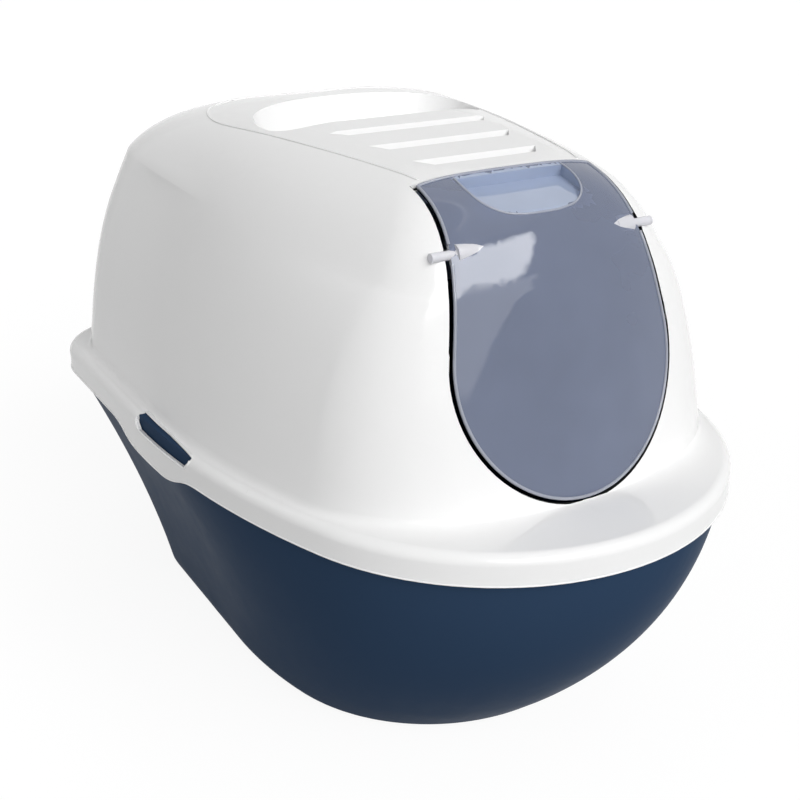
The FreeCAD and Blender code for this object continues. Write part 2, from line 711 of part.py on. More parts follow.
stock = "pin_radius + bearing_wall"
bearings = [
    box("bearing_" + side, (start, "pivot_y - (%s)" % stock, "pivot_z - (%s)" % stock),
        ("bearing_length", "2 * (%s)" % stock, "2 * (%s)" % stock))
    for side, start in both_sides("bearing_start", "bearing_length")]
bores = [
    cross_rod("bearing_bore_" + side, "pin_radius + pin_play", start, "pin_end + 1 - bearing_start + spare",
              "pivot_y", "pivot_z")
    for side, start in both_sides("bearing_start - spare", "pin_end + 1 - bearing_start + spare")]
notch_half = "(notch_share * pin_radius)"
notches = [
    box("notch_" + side, (start, "-notch_length", "-" + notch_half),
        ("pin_end + 1 - bearing_start + spare", "notch_length", "2 * " + notch_half),
        "-notch_lean", ("0", "pivot_y", "pivot_z"))
    for side, start in both_sides("bearing_start - spare", "pin_end + 1 - bearing_start + spare")]
frame_origin = ("0", "hinge_y", roof_at("hinge_y"))
ribs = [
    box("frame_rib_" + side, (start, "frame_front - hinge_y", "-frame_depth"),
        ("frame_wall", "frame_rear - frame_front", "frame_depth"), "roof_lean", frame_origin)
    for side, start in both_sides("frame_half - frame_wall / 2", "frame_wall")]
hinge_z = "%s - hinge_depth * cos(roof_lean * 1 deg)" % roof_at("hinge_y")
hinge_along = "hinge_y + hinge_depth * sin(roof_lean * 1 deg)"
rib_bores = [
    cross_rod("frame_bore_" + side, "hinge_pin + pin_play", start, "2 * frame_wall", hinge_along, hinge_z)
    for side, start in both_sides("frame_half - frame_wall", "2 * frame_wall")]

# Clip windows over the shoulder of the skirt

def window_block(name, play, sill, top, inner):
    """A long bar across the box with the windows' side view, less its middle."""
    body = new_body(name)
    sketch = new_sketch(body, name + "_profile", "YZ_Plane")
    front = "window_front + %s" % play
    rear = "window_rear - %s" % play
    polygon(sketch, [
        (front, sill + " + window_bevel"),
        (front + " + window_bevel", sill),
        (rear + " - window_bevel", sill),
        (rear, sill + " + window_bevel"),
        (rear, top),
        (front, top),
    ])
    pad(body, name + "_bar", sketch, "2 * rim_half + 4 * spare", midplane=True)
    middle = box(name + "_middle", ("-(%s)" % inner, front + " - spare", sill + " - spare"),
                 ("2 * (%s)" % inner, "window_rear - window_front + 4 * spare", "6 * spare"))
    doc.recompute()
    return cut(name + "_pair", body, middle)


windows = window_block("window", "0", "window_sill", "rim_top + spare", "rim_half - window_depth")

# Doorway and flap outline

def door_prism(name, gap, back_gap):
    """The flap's front view, run along the box from its upper edge to beyond the front."""
    body = new_body(name)
    sketch = new_sketch(body, name + "_outline", "XZ_Plane", "-(door_back + %s)" % back_gap)
    radius = value("door_radius + " + gap)
    centre_z = value("door_centre")
    top_z = value("roof_height + door_rise")
    top_half = value("door_top_half + " + gap)
    reach = math.hypot(top_half, top_z - centre_z)
    turn = math.atan2(top_z - centre_z, top_half) - math.acos(radius / reach)
    touch = V(radius * math.cos(turn), centre_z + radius * math.sin(turn), 0)
    mirror = V(-touch.x, touch.y, 0)
    sketch.addGeometry([
        arc(V(0, centre_z, 0), radius, -math.pi - turn, turn),
        Part.LineSegment(touch, V(top_half, top_z, 0)),
        Part.LineSegment(V(top_half, top_z, 0), V(-top_half, top_z, 0)),
        Part.LineSegment(V(-top_half, top_z, 0), mirror),
    ], False)
    sketch.addConstraint(Sketcher.Constraint("Tangent", 0, 2, 1, 1))
    sketch.addConstraint(Sketcher.Constraint("Coincident", 1, 2, 2, 1))
    sketch.addConstraint(Sketcher.Constraint("Coincident", 2, 2, 3, 1))
    sketch.addConstraint(Sketcher.Constraint("Tangent", 3, 2, 0, 1))
    place_point(sketch, 0, 3, "0", "door_centre")
    bind(sketch, "Radius", (0,), "door_radius + " + gap)
    sketch.addConstraint(Sketcher.Constraint("Horizontal", 2))
    place_point(sketch, 1, 2, "door_top_half + " + gap, "roof_height + door_rise")
    place_point(sketch, 2, 2, "-(door_top_half + %s)" % gap, None)
    pad(body, name + "_run", sketch, "door_back - rim_nose + spare")
    return body


doorway = door_prism("doorway", "door_gap", "door_back_gap")
door_outline = door_prism("door_outline", "0", "0")

# Hood

kept = fuse("kept_in_cavity", [dish_wall] + louvres + bearings + ribs)
room = cut("hood_room", cavity, kept)
dished = cut("hood_dished", form, dish_space)
hollow = cut("hood_hollow", dished, room)
cutters = fuse("hood_cutters", slots + bores + notches + rib_bores + [windows])
pierced = cut("hood_pierced", hollow, cutters)
hood = cut("hood", pierced, doorway)

# Flap

skin = cut("flap_skin", form, cavity)
panel = common("flap_panel", skin, door_outline)
flap_bosses = [
    cross_rod("flap_boss_" + side, "boss_radius", start, "boss_length", "pivot_y", "pivot_z")
    for side, start in both_sides("boss_inner", "boss_length")]
flap_pins = [
    cross_rod("flap_pin_" + side, "pin_radius", start, "pin_end - boss_inner", "pivot_y", "pivot_z")
    for side, start in both_sides("boss_inner", "pin_end - boss_inner")]


def pocket_body(name, wall):
    """The finger pocket, open to the rear and rounded in front, on its sloping floor."""
    body = new_body(name)
    sketch = new_sketch(body, name + "_outline", "XY_Plane", "-(%s)" % wall)
    half = value("pocket_half + " + wall)
    front = value("-pocket_length - " + wall)
    rear = value("0 + " + wall)
    radius = value("pocket_corner + " + wall)
    sketch.addGeometry([
        Part.LineSegment(V(-half + radius, front, 0), V(half - radius, front, 0)),
        arc(V(half - radius, front + radius, 0), radius, -math.pi / 2, 0.0),
        Part.LineSegment(V(half, front + radius, 0), V(half, rear, 0)),
        Part.LineSegment(V(half, rear, 0), V(-half, rear, 0)),
        Part.LineSegment(V(-half, rear, 0), V(-half, front + radius, 0)),
        arc(V(-half + radius, front + radius, 0), radius, math.pi, 1.5 * math.pi),
    ], False)
    for first, second in ((0, 1), (1, 2), (4, 5), (5, 0)):
        sketch.addConstraint(Sketcher.Constraint("Tangent", first, 2, second, 1))
    for first, second in ((2, 3), (3, 4)):
        sketch.addConstraint(Sketcher.Constraint("Coincident", first, 2, second, 1))
    for index in (0, 3):
        sketch.addConstraint(Sketcher.Constraint("Horizontal", index))
    for index in (2, 4):
        sketch.addConstraint(Sketcher.Constraint("Vertical", index))
    for index in (1, 5):
        bind(sketch, "Radius", (index,), "pocket_corner + " + wall)
    place_point(sketch, 2, 1, "pocket_half + " + wall, None)
    place_point(sketch, 4, 1, "-(pocket_half + %s)" % wall, None)
    place_point(sketch, 0, 1, None, "-(pocket_length + %s)" % wall)
    place_point(sketch, 3, 1, None, wall if wall != "0" else "0")
    pad(body, name + "_block", sketch, "pocket_depth * 5")
    floor_z = "%s - pocket_depth" % roof_at("door_back")
    lean_to(body, "pocket_lean", ("0", "door_back - pocket_rim", floor_z))
    doc.recompute()
    return body


pocket_space = pocket_body("pocket_space", "0")
pocket_shell = pocket_body("pocket_shell", "hood_wall - 0.4")
tub = common("pocket_tub", pocket_shell, form)
tub_in_outline = common("pocket_tub_trimmed", tub, door_outline)
flap_stock = fuse("flap_stock", [panel, tub_in_outline] + flap_bosses + flap_pins)
entry_flap = cut("entry_flap", flap_stock, pocket_space)

# Tray

TRAY_SHARES = [0.0, 0.25, 0.5, 0.75, 1.0]
TRAY_TOP = "rim_top - hood_wall"


def tray_outline(share, inset):
    """Expressions of the tray's plan outline at a share of the height up to the rim band."""
    swell = 4 * share * (1 - share)
    edge = rim_outline("hood_wall + tray_play")
    mix = "%%s + (%%s - %%s) * %s" % share

    def between(low, key):
        return mix % (low, edge[key], low)

    return {
        "half": "%s - tray_waist * %s - %s" % (between("tray_half", "half"), swell, inset),
        "nose": "%s - tray_prow * %s + %s" % (between("tray_nose", "nose"), swell, inset),
        "tail": "%s - tray_waist * %s - %s" % (between("tray_tail", "tail"), swell, inset),
        "nose_radius": "%s - %s" % (between("tray_nose_radius", "nose_radius"), inset),
        "flank_radius": "%s - %s" % (between("tray_side_radius", "flank_radius"), inset),
        "tail_radius": "%s - %s" % (between("tray_tail_radius", "tail_radius"), inset),
    }


def tray_loft(body, name, inset, floor):
    """Loft the tray's walls from floor up to the rim band."""
    outlines = []
    for number, share in enumerate(TRAY_SHARES):
        level = "%s + (%s - tray_band - %s) * %s" % (floor, TRAY_TOP, floor, share)
        outlines.append(bullet(body, "%s_level_%d" % (name, number), level, tray_outline(share, inset)))
    return loft(body, name + "_walls", outlines)


tray_form = new_body("tray_form")
tray_loft(tray_form, "tray", "0", "0")
pad(tray_form, "tray_rim", bullet(tray_form, "tray_rim_outline", TRAY_TOP + " - tray_band - 0.5",
                                  rim_outline("hood_wall + tray_play")), "tray_band + 0.5")
round_edges(tray_form, "tray_rim_edge", at_level(value(TRAY_TOP), ROUND_OR_STRAIGHT), "tray_edge")
round_edges(tray_form, "tray_foot", lambda edge: abs(edge.BoundBox.ZMax) < 0.01, "tray_round")

tray_room = new_body("tray_room")
tray_loft(tray_room, "hollow", "tray_wall", "tray_wall")
pad(tray_room, "hollow_rim", bullet(tray_room, "hollow_rim_outline", TRAY_TOP + " - tray_band - 0.5",
                                    rim_outline("hood_wall + tray_play + tray_wall")),
    "tray_band + 0.5 - tray_lip_thick")
pad(tray_room, "hollow_mouth", bullet(tray_room, "hollow_mouth_outline", TRAY_TOP + " - tray_band",
                                      rim_outline("hood_wall + tray_play + tray_lip")), "tray_band + spare")
round_edges(tray_room, "hollow_foot", lambda edge: abs(edge.BoundBox.ZMax - value("tray_wall")) < 0.01,
            "tray_round - tray_wall")
tray_bowl = cut("tray_bowl", tray_form, tray_room)

# Lugs of the tray that show in the hood's windows
lug_form = new_body("lug_form")
pad(lug_form, "lug_ring", bullet(lug_form, "lug_outline", TRAY_TOP + " - tray_band + spare",
                                 rim_outline("hood_wall + clip_play")), "tray_band - spare + clip_rise")
lug_bars = window_block("lug", "clip_play", TRAY_TOP + " - tray_band + spare", "rim_top + spare",
                        "rim_half - window_depth + clip_play")
lugs = common("tray_lugs", lug_form, lug_bars)
base_tray = fuse("base_tray", [tray_bowl, lugs])

# Filter cover, seen from its own axis

cover_half = "(frame_half - frame_wall / 2 - cover_play)"
cover_place = ("0", hinge_along, hinge_z)


def rectangle(sketch, left, right, low, high):
    polygon(sketch, [(left, low), (right, low), (right, high), (left, high)])


cover = new_body("cover_tray")
cover_sketch = new_sketch(cover, "cover_outline", "XY_Plane", "-cover_drop")
rectangle(cover_sketch, "-" + cover_half, cover_half, "-cover_length", "cover_heel")
pad(cover, "cover_block", cover_sketch, "cover_rim")
inner_sketch = new_sketch(cover, "cover_inner", "XY_Plane", "-cover_drop + cover_rim")
rectangle(inner_sketch, "-%s + cover_wall" % cover_half, cover_half + " - cover_wall",
          "-cover_length + cover_wall", "cover_heel - cover_wall")
inner = cover.newObject("PartDesign::Pocket", "cover_well")
inner.Profile = inner_sketch
inner.setExpression("Length", named("cover_rim - cover_floor"))
doc.recompute()
slot_sketch = new_sketch(cover, "cover_slot_outline", "XY_Plane", "-cover_drop")
rectangle(slot_sketch, "-%s + slot_margin" % cover_half, cover_half + " - slot_margin",
          "-cover_length + slot_margin", "-cover_length + slot_margin + slot_width")
slot = cover.newObject("PartDesign::Pocket", "cover_slot")
slot.Profile = slot_sketch
slot.Reversed = True
slot.setExpression("Length", named("cover_floor + 0.5"))
doc.recompute()
pattern = cover.newObject("PartDesign::LinearPattern", "cover_slots")
pattern.Originals = [slot]
pattern.Direction = (slot_sketch, ["V_Axis"])
cover.Tip = pattern
pattern.setExpression("Length", named("slot_pitch * (SLOT_COUNT - 1)"))
pattern.Occurrences = SLOT_COUNT
doc.recompute()
lean_to(cover, "roof_lean", cover_place)
cover_pins = [
    cross_rod("cover_pin_" + side, "hinge_pin", start, "frame_wall + cover_play + cover_wall", hinge_along, hinge_z)
    for side, start in both_sides(cover_half + " - cover_wall", "frame_wall + cover_play + cover_wall")]
cover_tab = box("cover_tab", ("-tab_half", "-cover_length - tab_reach", "-cover_drop"),
                ("2 * tab_half", "tab_reach + cover_wall", "cover_floor"), "roof_lean", cover_place)
filter_cover = fuse("filter_cover", [cover, cover_tab] + cover_pins)

# Carbon pad lying in the filter cover

pad_body = new_body("carbon_filter")
pad_sketch = new_sketch(pad_body, "filter_outline", "XY_Plane", "-cover_drop + cover_floor")
gap = "(cover_wall + filter_play)"
rectangle(pad_sketch, "-%s + %s" % (cover_half, gap), "%s - %s" % (cover_half, gap),
          "-cover_length + " + gap, "cover_heel - " + gap)
pad(pad_body, "filter_block", pad_sketch, "filter_thick")
round_edges(pad_body, "filter_corners", lambda edge: abs(edge.BoundBox.ZLength - value("filter_thick")) < 0.01,
            "filter_corner")
lean_to(pad_body, "roof_lean", cover_place)
doc.recompute()

# Check and write

NODES = {
    "base_tray": base_tray,
    "hood": hood,
    "entry_flap": entry_flap,
    "filter_cover": filter_cover,
    "carbon_filter": pad_body,
}
for item in doc.Objects:
    if "Invalid" in item.State or "Error" in item.State:
        raise RuntimeError("%s is not valid: %s" % (item.Name, item.State))
os.makedirs("parts", exist_ok=True)
for node, item in NODES.items():
    shape = item.Shape
    if shape.isNull() or not shape.isValid() or len(shape.Solids) != 1:
        raise RuntimeError("%s has no single valid solid" % node)
    item.Label = node
    shape.exportStep("parts/%s.step" % node)
    limits = shape.BoundBox
    print(node, round(shape.Volume), [round(number, 2) for number in (
        limits.XMin, limits.XMax, limits.YMin, limits.YMax, limits.ZMin, limits.ZMax)])
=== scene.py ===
"""Hooded litter box: finishes, moulded details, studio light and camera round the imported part."""
import logging
import math
from dataclasses import dataclass
from enum import Enum, IntEnum
from typing import Any, Optional, Sequence

import bmesh
import bpy
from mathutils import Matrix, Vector
from mathutils.bvhtree import BVHTree


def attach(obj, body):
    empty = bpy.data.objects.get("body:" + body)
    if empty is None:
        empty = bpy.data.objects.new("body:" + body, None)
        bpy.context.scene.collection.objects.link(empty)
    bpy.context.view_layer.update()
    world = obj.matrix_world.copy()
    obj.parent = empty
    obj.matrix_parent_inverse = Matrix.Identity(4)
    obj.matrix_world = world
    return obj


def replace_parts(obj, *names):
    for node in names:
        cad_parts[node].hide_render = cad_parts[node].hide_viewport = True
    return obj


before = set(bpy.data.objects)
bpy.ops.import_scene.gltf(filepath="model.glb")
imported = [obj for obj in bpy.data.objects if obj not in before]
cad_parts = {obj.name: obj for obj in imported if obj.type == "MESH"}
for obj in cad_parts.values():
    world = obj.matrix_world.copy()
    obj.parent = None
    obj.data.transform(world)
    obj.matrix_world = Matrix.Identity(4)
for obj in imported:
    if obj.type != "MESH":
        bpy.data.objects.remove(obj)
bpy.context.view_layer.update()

LOG = logging.getLogger("litter_box")
MM = 0.001
UP = Vector((0.0, 0.0, 1.0))
PURE_WHITE = (1.0, 1.0, 1.0, 1.0)
# Most values of a noise texture lie between these two.
NOISE_SPAN = (0.3, 0.7)
# A point inside the box. The direction of an outer skin has at least this cosine to the line from there.
MIDDLE = Vector((0.0, 0.0, 0.25))
OUTWARD = 0.5
# The direction of a face that was cut straight from front to back has less than this along Y.
CUT_TURN = 0.02
# A facet narrower than this has no direction to be trusted.
THIN_MM = 0.02
# Corners of CAD facets that lie closer than this are one.
WELD_MM = 0.005
# Lines are dropped onto the pieces from this height, which is above all of them.
ABOVE_M = 0.6
BEAD_SIDES = 10


class Slot(Enum):
    """Material slots of the record."""

    NAVY = "navy_plastic"
    WHITE = "white_plastic"
    CLEAR = "clear_plastic"
    CARBON = "carbon_felt"


class HoodSkin(IntEnum):
    """Finishes of the hood's faces, in the order of its material slots."""

    WALL = 0
    # Near black: painted shade of the gap round the flap.
    CUT_EDGE = 1


class FlapSkin(IntEnum):
    """Finishes of the flap's faces, in the order of its material slots."""

    SHEET = 0
    PIN = 1
    # Nearly black: partly painted shade of the gap round the flap.
    CUT_EDGE = 2
    POCKET = 3


def linear(hex_colour: str) -> tuple[float, float, float, float]:
    """Turn an sRGB hex colour into linear RGBA.

    Args:
        hex_colour: six hex digits.

    Returns:
        Linear red, green, blue and an alpha of 1.
    """
    parts = [int(hex_colour[index:index + 2], 16) / 255 for index in (0, 2, 4)]
    curved = [part / 12.92 if part <= 0.04045 else ((part + 0.055) / 1.055) ** 2.4 for part in parts]
    return (curved[0], curved[1], curved[2], 1.0)


def add_node(tree: bpy.types.NodeTree, kind: str, settings: Optional[dict[str, Any]] = None,
             inputs: Optional[dict[Any, Any]] = None) -> bpy.types.Node:
    """Add a node, set its properties and fill or link its inputs.

    Args:
        tree: the tree that gets the node.
        kind: the node's type name.
        settings: property names and values.
        inputs: socket names or numbers, each with a value or with an output socket to link.

    Returns:
        The new node.
    """
    node = tree.nodes.new(kind)
    for name, value in (settings or {}).items():
        setattr(node, name, value)
    for key, value in (inputs or {}).items():
        if isinstance(value, bpy.types.NodeSocket):
            tree.links.new(value, node.inputs[key])
        else:
            node.inputs[key].default_value = value
    return node


def blank_material(name: str) -> bpy.types.Material:
    """Make a material whose node tree is empty.

    Args:
        name: the material's name.

    Returns:
        The material.
    """
    material = bpy.data.materials.new(name)
    material.use_nodes = True
    material.node_tree.nodes.clear()
    return material


@dataclass(frozen=True)
class MouldedFinish:
    """Moulded polypropylene: an even colour with the mould's gloss, faintly uneven from shrinkage."""

    name: str
    colour: str
    roughness: float
    specular: float = 0.5
    ior: float = 1.49
    # The mould's grain is drawn coarser than it is, so that it shows.
    grain_mm: float = 1.6
    grain_depth_mm: float = 0.004
    grain_strength: float = 0.25
    # Wide shallow waves, left by shrinkage as the wall cooled.
    sink_mm: float = 55.0
    sink_depth_mm: float = 0.25
    sink_strength: float = 0.3
    # Patches that are rubbed a little duller or brighter.
    wear_mm: float = 24.0
    wear_share: float = 0.06

    def make(self) -> bpy.types.Material:
        """Build the material.

        Returns:
            The material with its node tree.
        """
        material = blank_material(self.name)
        tree = material.node_tree
        place = add_node(tree, "ShaderNodeTexCoord").outputs["Object"]
        grain = add_node(tree, "ShaderNodeTexNoise", inputs={
            "Vector": place, "Scale": 1.0 / (self.grain_mm * MM), "Detail": 2.0})
        sink = add_node(tree, "ShaderNodeTexNoise", inputs={
            "Vector": place, "Scale": 1.0 / (self.sink_mm * MM), "Detail": 0.0})
        wear = add_node(tree, "ShaderNodeTexNoise", inputs={
            "Vector": place, "Scale": 1.0 / (self.wear_mm * MM), "Detail": 4.0, "Roughness": 0.65})
        waves = add_node(tree, "ShaderNodeBump", inputs={
            "Strength": self.sink_strength, "Distance": self.sink_depth_mm * MM, "Height": sink.outputs[0]})
        bump = add_node(tree, "ShaderNodeBump", inputs={
            "Strength": self.grain_strength, "Distance": self.grain_depth_mm * MM,
            "Height": grain.outputs[0], "Normal": waves.outputs["Normal"]})
        gloss = add_node(tree, "ShaderNodeMapRange", inputs={
            "Value": wear.outputs[0], "From Min": NOISE_SPAN[0], "From Max": NOISE_SPAN[1],
            "To Min": self.roughness - self.wear_share / 2, "To Max": self.roughness + self.wear_share / 2})
        shader = add_node(tree, "ShaderNodeBsdfPrincipled", inputs={
            "Base Color": linear(self.colour), "Roughness": gloss.outputs[0], "IOR": self.ior,
            "Specular IOR Level": self.specular, "Normal": bump.outputs["Normal"]})
        add_node(tree, "ShaderNodeOutputMaterial", inputs={"Surface": shader.outputs["BSDF"]})
        return material


@dataclass(frozen=True)
class ClearFinish:
    """Smoky clear styrene: glossy, lets light through and holds a little haze."""

    name: str
    colour: str
    through: float
    roughness: float = 0.03
    specular: float = 0.5
    ior: float = 1.59
    haze_mm: float = 60.0
    haze_share: float = 0.03

    def make(self) -> bpy.types.Material:
        """Build the material.

        Returns:
            The material with its node tree.
        """
        material = blank_material(self.name)
        tree = material.node_tree
        place = add_node(tree, "ShaderNodeTexCoord").outputs["Object"]
        cloud = add_node(tree, "ShaderNodeTexNoise", inputs={
            "Vector": place, "Scale": 1.0 / (self.haze_mm * MM), "Detail": 2.0})
        share = add_node(tree, "ShaderNodeMapRange", inputs={
            "Value": cloud.outputs[0], "From Min": NOISE_SPAN[0], "From Max": NOISE_SPAN[1],
            "To Min": self.through - self.haze_share, "To Max": self.through + self.haze_share})
        shader = add_node(tree, "ShaderNodeBsdfPrincipled", inputs={
            "Base Color": linear(self.colour), "Roughness": self.roughness, "IOR": self.ior,
            "Specular IOR Level": self.specular, "Transmission Weight": share.outputs[0]})
        add_node(tree, "ShaderNodeOutputMaterial", inputs={"Surface": shader.outputs["BSDF"]})
        return material


@dataclass(frozen=True)
class FeltFinish:
    """Carbon-loaded felt: black, dull and fibrous."""

    name: str
    colour: str
    roughness: float = 0.95
    # The fibres are drawn coarser than they are, so that they show.
    fibre_mm: float = 0.8
    fibre_depth_mm: float = 0.4
    fibre_strength: float = 0.8

    def make(self) -> bpy.types.Material:
        """Build the material.

        Returns:
            The material with its node tree.
        """
        material = blank_material(self.name)
        tree = material.node_tree
        place = add_node(tree, "ShaderNodeTexCoord").outputs["Object"]
        fibre = add_node(tree, "ShaderNodeTexVoronoi", inputs={
            "Vector": place, "Scale": 1.0 / (self.fibre_mm * MM)})
        bump = add_node(tree, "ShaderNodeBump", inputs={
            "Strength": self.fibre_strength, "Distance": self.fibre_depth_mm * MM,
            "Height": fibre.outputs["Distance"]})
        shader = add_node(tree, "ShaderNodeBsdfPrincipled", inputs={
            "Base Color": linear(self.colour), "Roughness": self.roughness,
            "Normal": bump.outputs["Normal"]})
        add_node(tree, "ShaderNodeOutputMaterial", inputs={"Surface": shader.outputs["BSDF"]})
        return material


# Navy polypropylene from a matt mould: a deep, even blue with hardly any reflection in it.
NAVY = MouldedFinish("moulded navy polypropylene", "2E415A", 0.35, specular=0.004)
# White polypropylene from a polished mould: bright and even, with soft-edged reflections of the lights.
WHITE = MouldedFinish("moulded white polypropylene", "EDEDED", 0.1, specular=0.4)
# Painted shade: the doorway's cut edge of white polypropylene is coloured near black for the gap's shade, a
# dark line.
SHADE = MouldedFinish("shaded edge of white polypropylene", "141516", 0.5)
# The flap's sheet of smoky styrene: grey-blue, glossy, with what lies behind it seen dimly.
CLEAR = ClearFinish("smoky clear styrene", "8591B0", 0.55, specular=0.8)
# The thick styrene of pins and bosses: milky and nearly white, because light scatters in it.
HAZY = ClearFinish("hazy thick styrene", "F2F2F8", 0.35, 0.15)
# The rounded lip and the pocket's rim: painted highlight, a paler colour for the light the rounding gathers
# into a pale line.
RIM_HIGHLIGHT = ClearFinish("rounded rim of smoky styrene", "C6CBDA", 0.5, 0.08)
# The pocket's floor and walls: paler and bluer than the sheet.
POCKET = ClearFinish("paler smoky styrene of the pocket", "BFCDE8", 0.4, specular=0.72)
# The sheet's cut edge: nearly black, partly as painted shade of the gap round the flap, partly as the tint
# deep along the sheet.
EDGE = ClearFinish("cut edge of smoky styrene", "1B1D24", 0.2, 0.2)
# Felt loaded with active carbon: black, dull and fibrous.
CARBON = FeltFinish("carbon felt", "17181A")


def faces_out(face: bmesh.types.BMFace) -> bool:
    """Tell whether a face looks away from the middle of the box, as an outer skin does."""
    return face.normal.dot((face.calc_center_median() - MIDDLE).normalized()) > OUTWARD


def cut_straight(face: bmesh.types.BMFace) -> bool:
    """Tell whether a face was cut straight from front to back, as the doorway's edge is."""
    return abs(face.normal.y) < CUT_TURN


def is_thin(face: bmesh.types.BMFace) -> bool:
    """Tell whether a facet is a sliver, too narrow for its direction to be trusted."""
    longest = max(edge.calc_length() for edge in face.edges)
    return 2 * face.calc_area() < longest * THIN_MM * MM


def creases(work: bmesh.types.BMesh) -> list[bmesh.types.BMEdge]:
    """List the sharp edges between two faces."""
    return [edge for edge in work.edges if not edge.smooth and len(edge.link_faces) == 2]


def halfway(edge: bmesh.types.BMEdge) -> Vector:
    """Give the middle of an edge."""
    return (edge.verts[0].co + edge.verts[1].co) / 2


def eased(share: float) -> float:
    """Ease a share in and out between nothing and the whole.

    Args:
        share: any number.

    Returns:
        0 up to 0, 1 from 1 on, and a smooth rise between.
    """
    held = min(1.0, max(0.0, share))
    return held * held * (3 - 2 * held)


def smooth_line(points: Sequence[Vector], steps: int = 6) -> list[Vector]:
    """Run a smooth line through points.

    Args:
        points: the points.
        steps: runs between two points.

    Returns:
        Points along the line.
    """
    line = []
    for number in range(len(points) - 1):
        before = points[max(number - 1, 0)]
        start = points[number]
        end = points[number + 1]
        after = points[min(number + 2, len(points) - 1)]
        for part in range(steps):
            share = part / steps
            line.append(0.5 * (2 * start + (end - before) * share
                               + (2 * before - 5 * start + 4 * end - after) * share ** 2
                               + (3 * start - before - 3 * end + after) * share ** 3))
    line.append(points[-1])
    return line


def both_halves(half_mm: Sequence[tuple[float, float]]) -> list[Vector]:
    """Mirror a plan outline that ends on the middle line.

    Args:
        half_mm: across and along, in millimetres, of the right half.

    Returns:
        Plan points of both halves, in metres.
    """
    right = [Vector((across, along, 0.0)) * MM for across, along in half_mm]
    return right + [Vector((-point.x, point.y, 0.0)) for point in reversed(right[:-1])]


def laid_on(piece: bpy.types.Object, plan: Sequence[Vector]) -> list[Vector]:
    """Drop plan points onto a piece from above.

    Args:
        piece: what they land on.
        plan: the points.

    Returns:
        The points where they land.
    """
    laid = []
    for place in plan:
        hit, spot, _, _ = piece.ray_cast(Vector((place.x, place.y, ABOVE_M)), -UP)
        if hit:
            laid.append(spot)
    return laid


def welded(node: str, crease_deg: float = 32.0) -> bmesh.types.BMesh:
    """Copy a CAD node's facets, weld them and mark its creases.

    Args:
        node: the node's name.
        crease_deg: the bend from which an edge stays sharp.

    Returns:
        The welded copy.
    """
    work = bmesh.new()
    work.from_mesh(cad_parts[node].data)
    bmesh.ops.remove_doubles(work, verts=work.verts, dist=WELD_MM * MM)
    for face in work.faces:
        face.smooth = True
        face.material_index = 0
    bmesh.ops.dissolve_degenerate(work, dist=THIN_MM * MM, edges=work.edges)
    bmesh.ops.triangulate(work, faces=[face for face in work.faces if len(face.verts) > 3])
    work.normal_update()
    for edge in work.edges:
        faces = edge.link_faces
        bent = len(faces) == 2 and edge.calc_face_angle(0.0) > math.radians(crease_deg)
        edge.smooth = not (bent and not any(is_thin(face) for face in faces))
    work.verts.index_update()
    return work


def show(name: str, mesh: bpy.types.Mesh, body: str) -> bpy.types.Object:
    """Put a finished mesh in the scene as a piece of a body.

    Args:
        name: the piece's name.
        mesh: its mesh, in the shared frame.
        body: the body that it rides on.

    Returns:
        The piece.
    """
    piece = bpy.data.objects.new(name, mesh)
    bpy.context.scene.collection.objects.link(piece)
    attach(piece, body)
    LOG.info("%s made, %d faces", name, len(mesh.polygons))
    return piece


def plain_mesh(name: str, work: bmesh.types.BMesh,
               materials: Sequence[bpy.types.Material]) -> bpy.types.Mesh:
    """Turn working geometry into a mesh with its materials, shaded by its large facets.

    Args:
        name: the mesh's name.
        work: the working geometry, freed here.
        materials: finishes in slot order.

    Returns:
        The mesh.
    """
    rough = bpy.data.meshes.new(name + "_facets")
    work.to_mesh(rough)
    work.free()
    for material in materials:
        rough.materials.append(material)
    holder = bpy.data.objects.new(name + "_facets", rough)
    bpy.context.scene.collection.objects.link(holder)
    shading = holder.modifiers.new("even shading", "WEIGHTED_NORMAL")
    shading.mode = "FACE_AREA"
    shading.keep_sharp = True
    mesh = bpy.data.meshes.new_from_object(holder.evaluated_get(bpy.context.evaluated_depsgraph_get()))
    mesh.name = name
    holder.modifiers.remove(shading)
    bpy.data.objects.remove(holder)
    bpy.data.meshes.remove(rough)
    return mesh


def bead_tree(name: str) -> bpy.types.NodeTree:
    """Make the node tree that lays a round bead along the edges of a wire mesh.

    Args:
        name: the tree's name.

    Returns:
        The tree, with inputs for the bead's radius, the spacing of its rings and its material.
    """
    tree = bpy.data.node_groups.new(name, "GeometryNodeTree")
    tree.interface.new_socket("Geometry", in_out="INPUT", socket_type="NodeSocketGeometry")
    tree.interface.new_socket("Radius", in_out="INPUT", socket_type="NodeSocketFloat")
    tree.interface.new_socket("Spacing", in_out="INPUT", socket_type="NodeSocketFloat")
    tree.interface.new_socket("Finish", in_out="INPUT", socket_type="NodeSocketMaterial")
    tree.interface.new_socket("Geometry", in_out="OUTPUT", socket_type="NodeSocketGeometry")
    given = add_node(tree, "NodeGroupInput").outputs
    line = add_node(tree, "GeometryNodeMeshToCurve", inputs={"Mesh": given["Geometry"]})
    even = add_node(tree, "GeometryNodeResampleCurve", {"mode": "LENGTH"}, {
        "Curve": line.outputs[0], "Length": given["Spacing"]})
    ring = add_node(tree, "GeometryNodeCurvePrimitiveCircle", inputs={
        "Resolution": BEAD_SIDES, "Radius": given["Radius"]})
    tube = add_node(tree, "GeometryNodeCurveToMesh", inputs={
        "Curve": even.outputs[0], "Profile Curve": ring.outputs[0], "Fill Caps": True})
    smooth = add_node(tree, "GeometryNodeSetShadeSmooth", inputs={"Geometry": tube.outputs[0]})
    real = add_node(tree, "GeometryNodeRealizeInstances", inputs={"Geometry": smooth.outputs[0]})
    finish = add_node(tree, "GeometryNodeSetMaterial", inputs={
        "Geometry": real.outputs[0], "Material": given["Finish"]})
    add_node(tree, "NodeGroupOutput", inputs={"Geometry": finish.outputs[0]})
    return tree


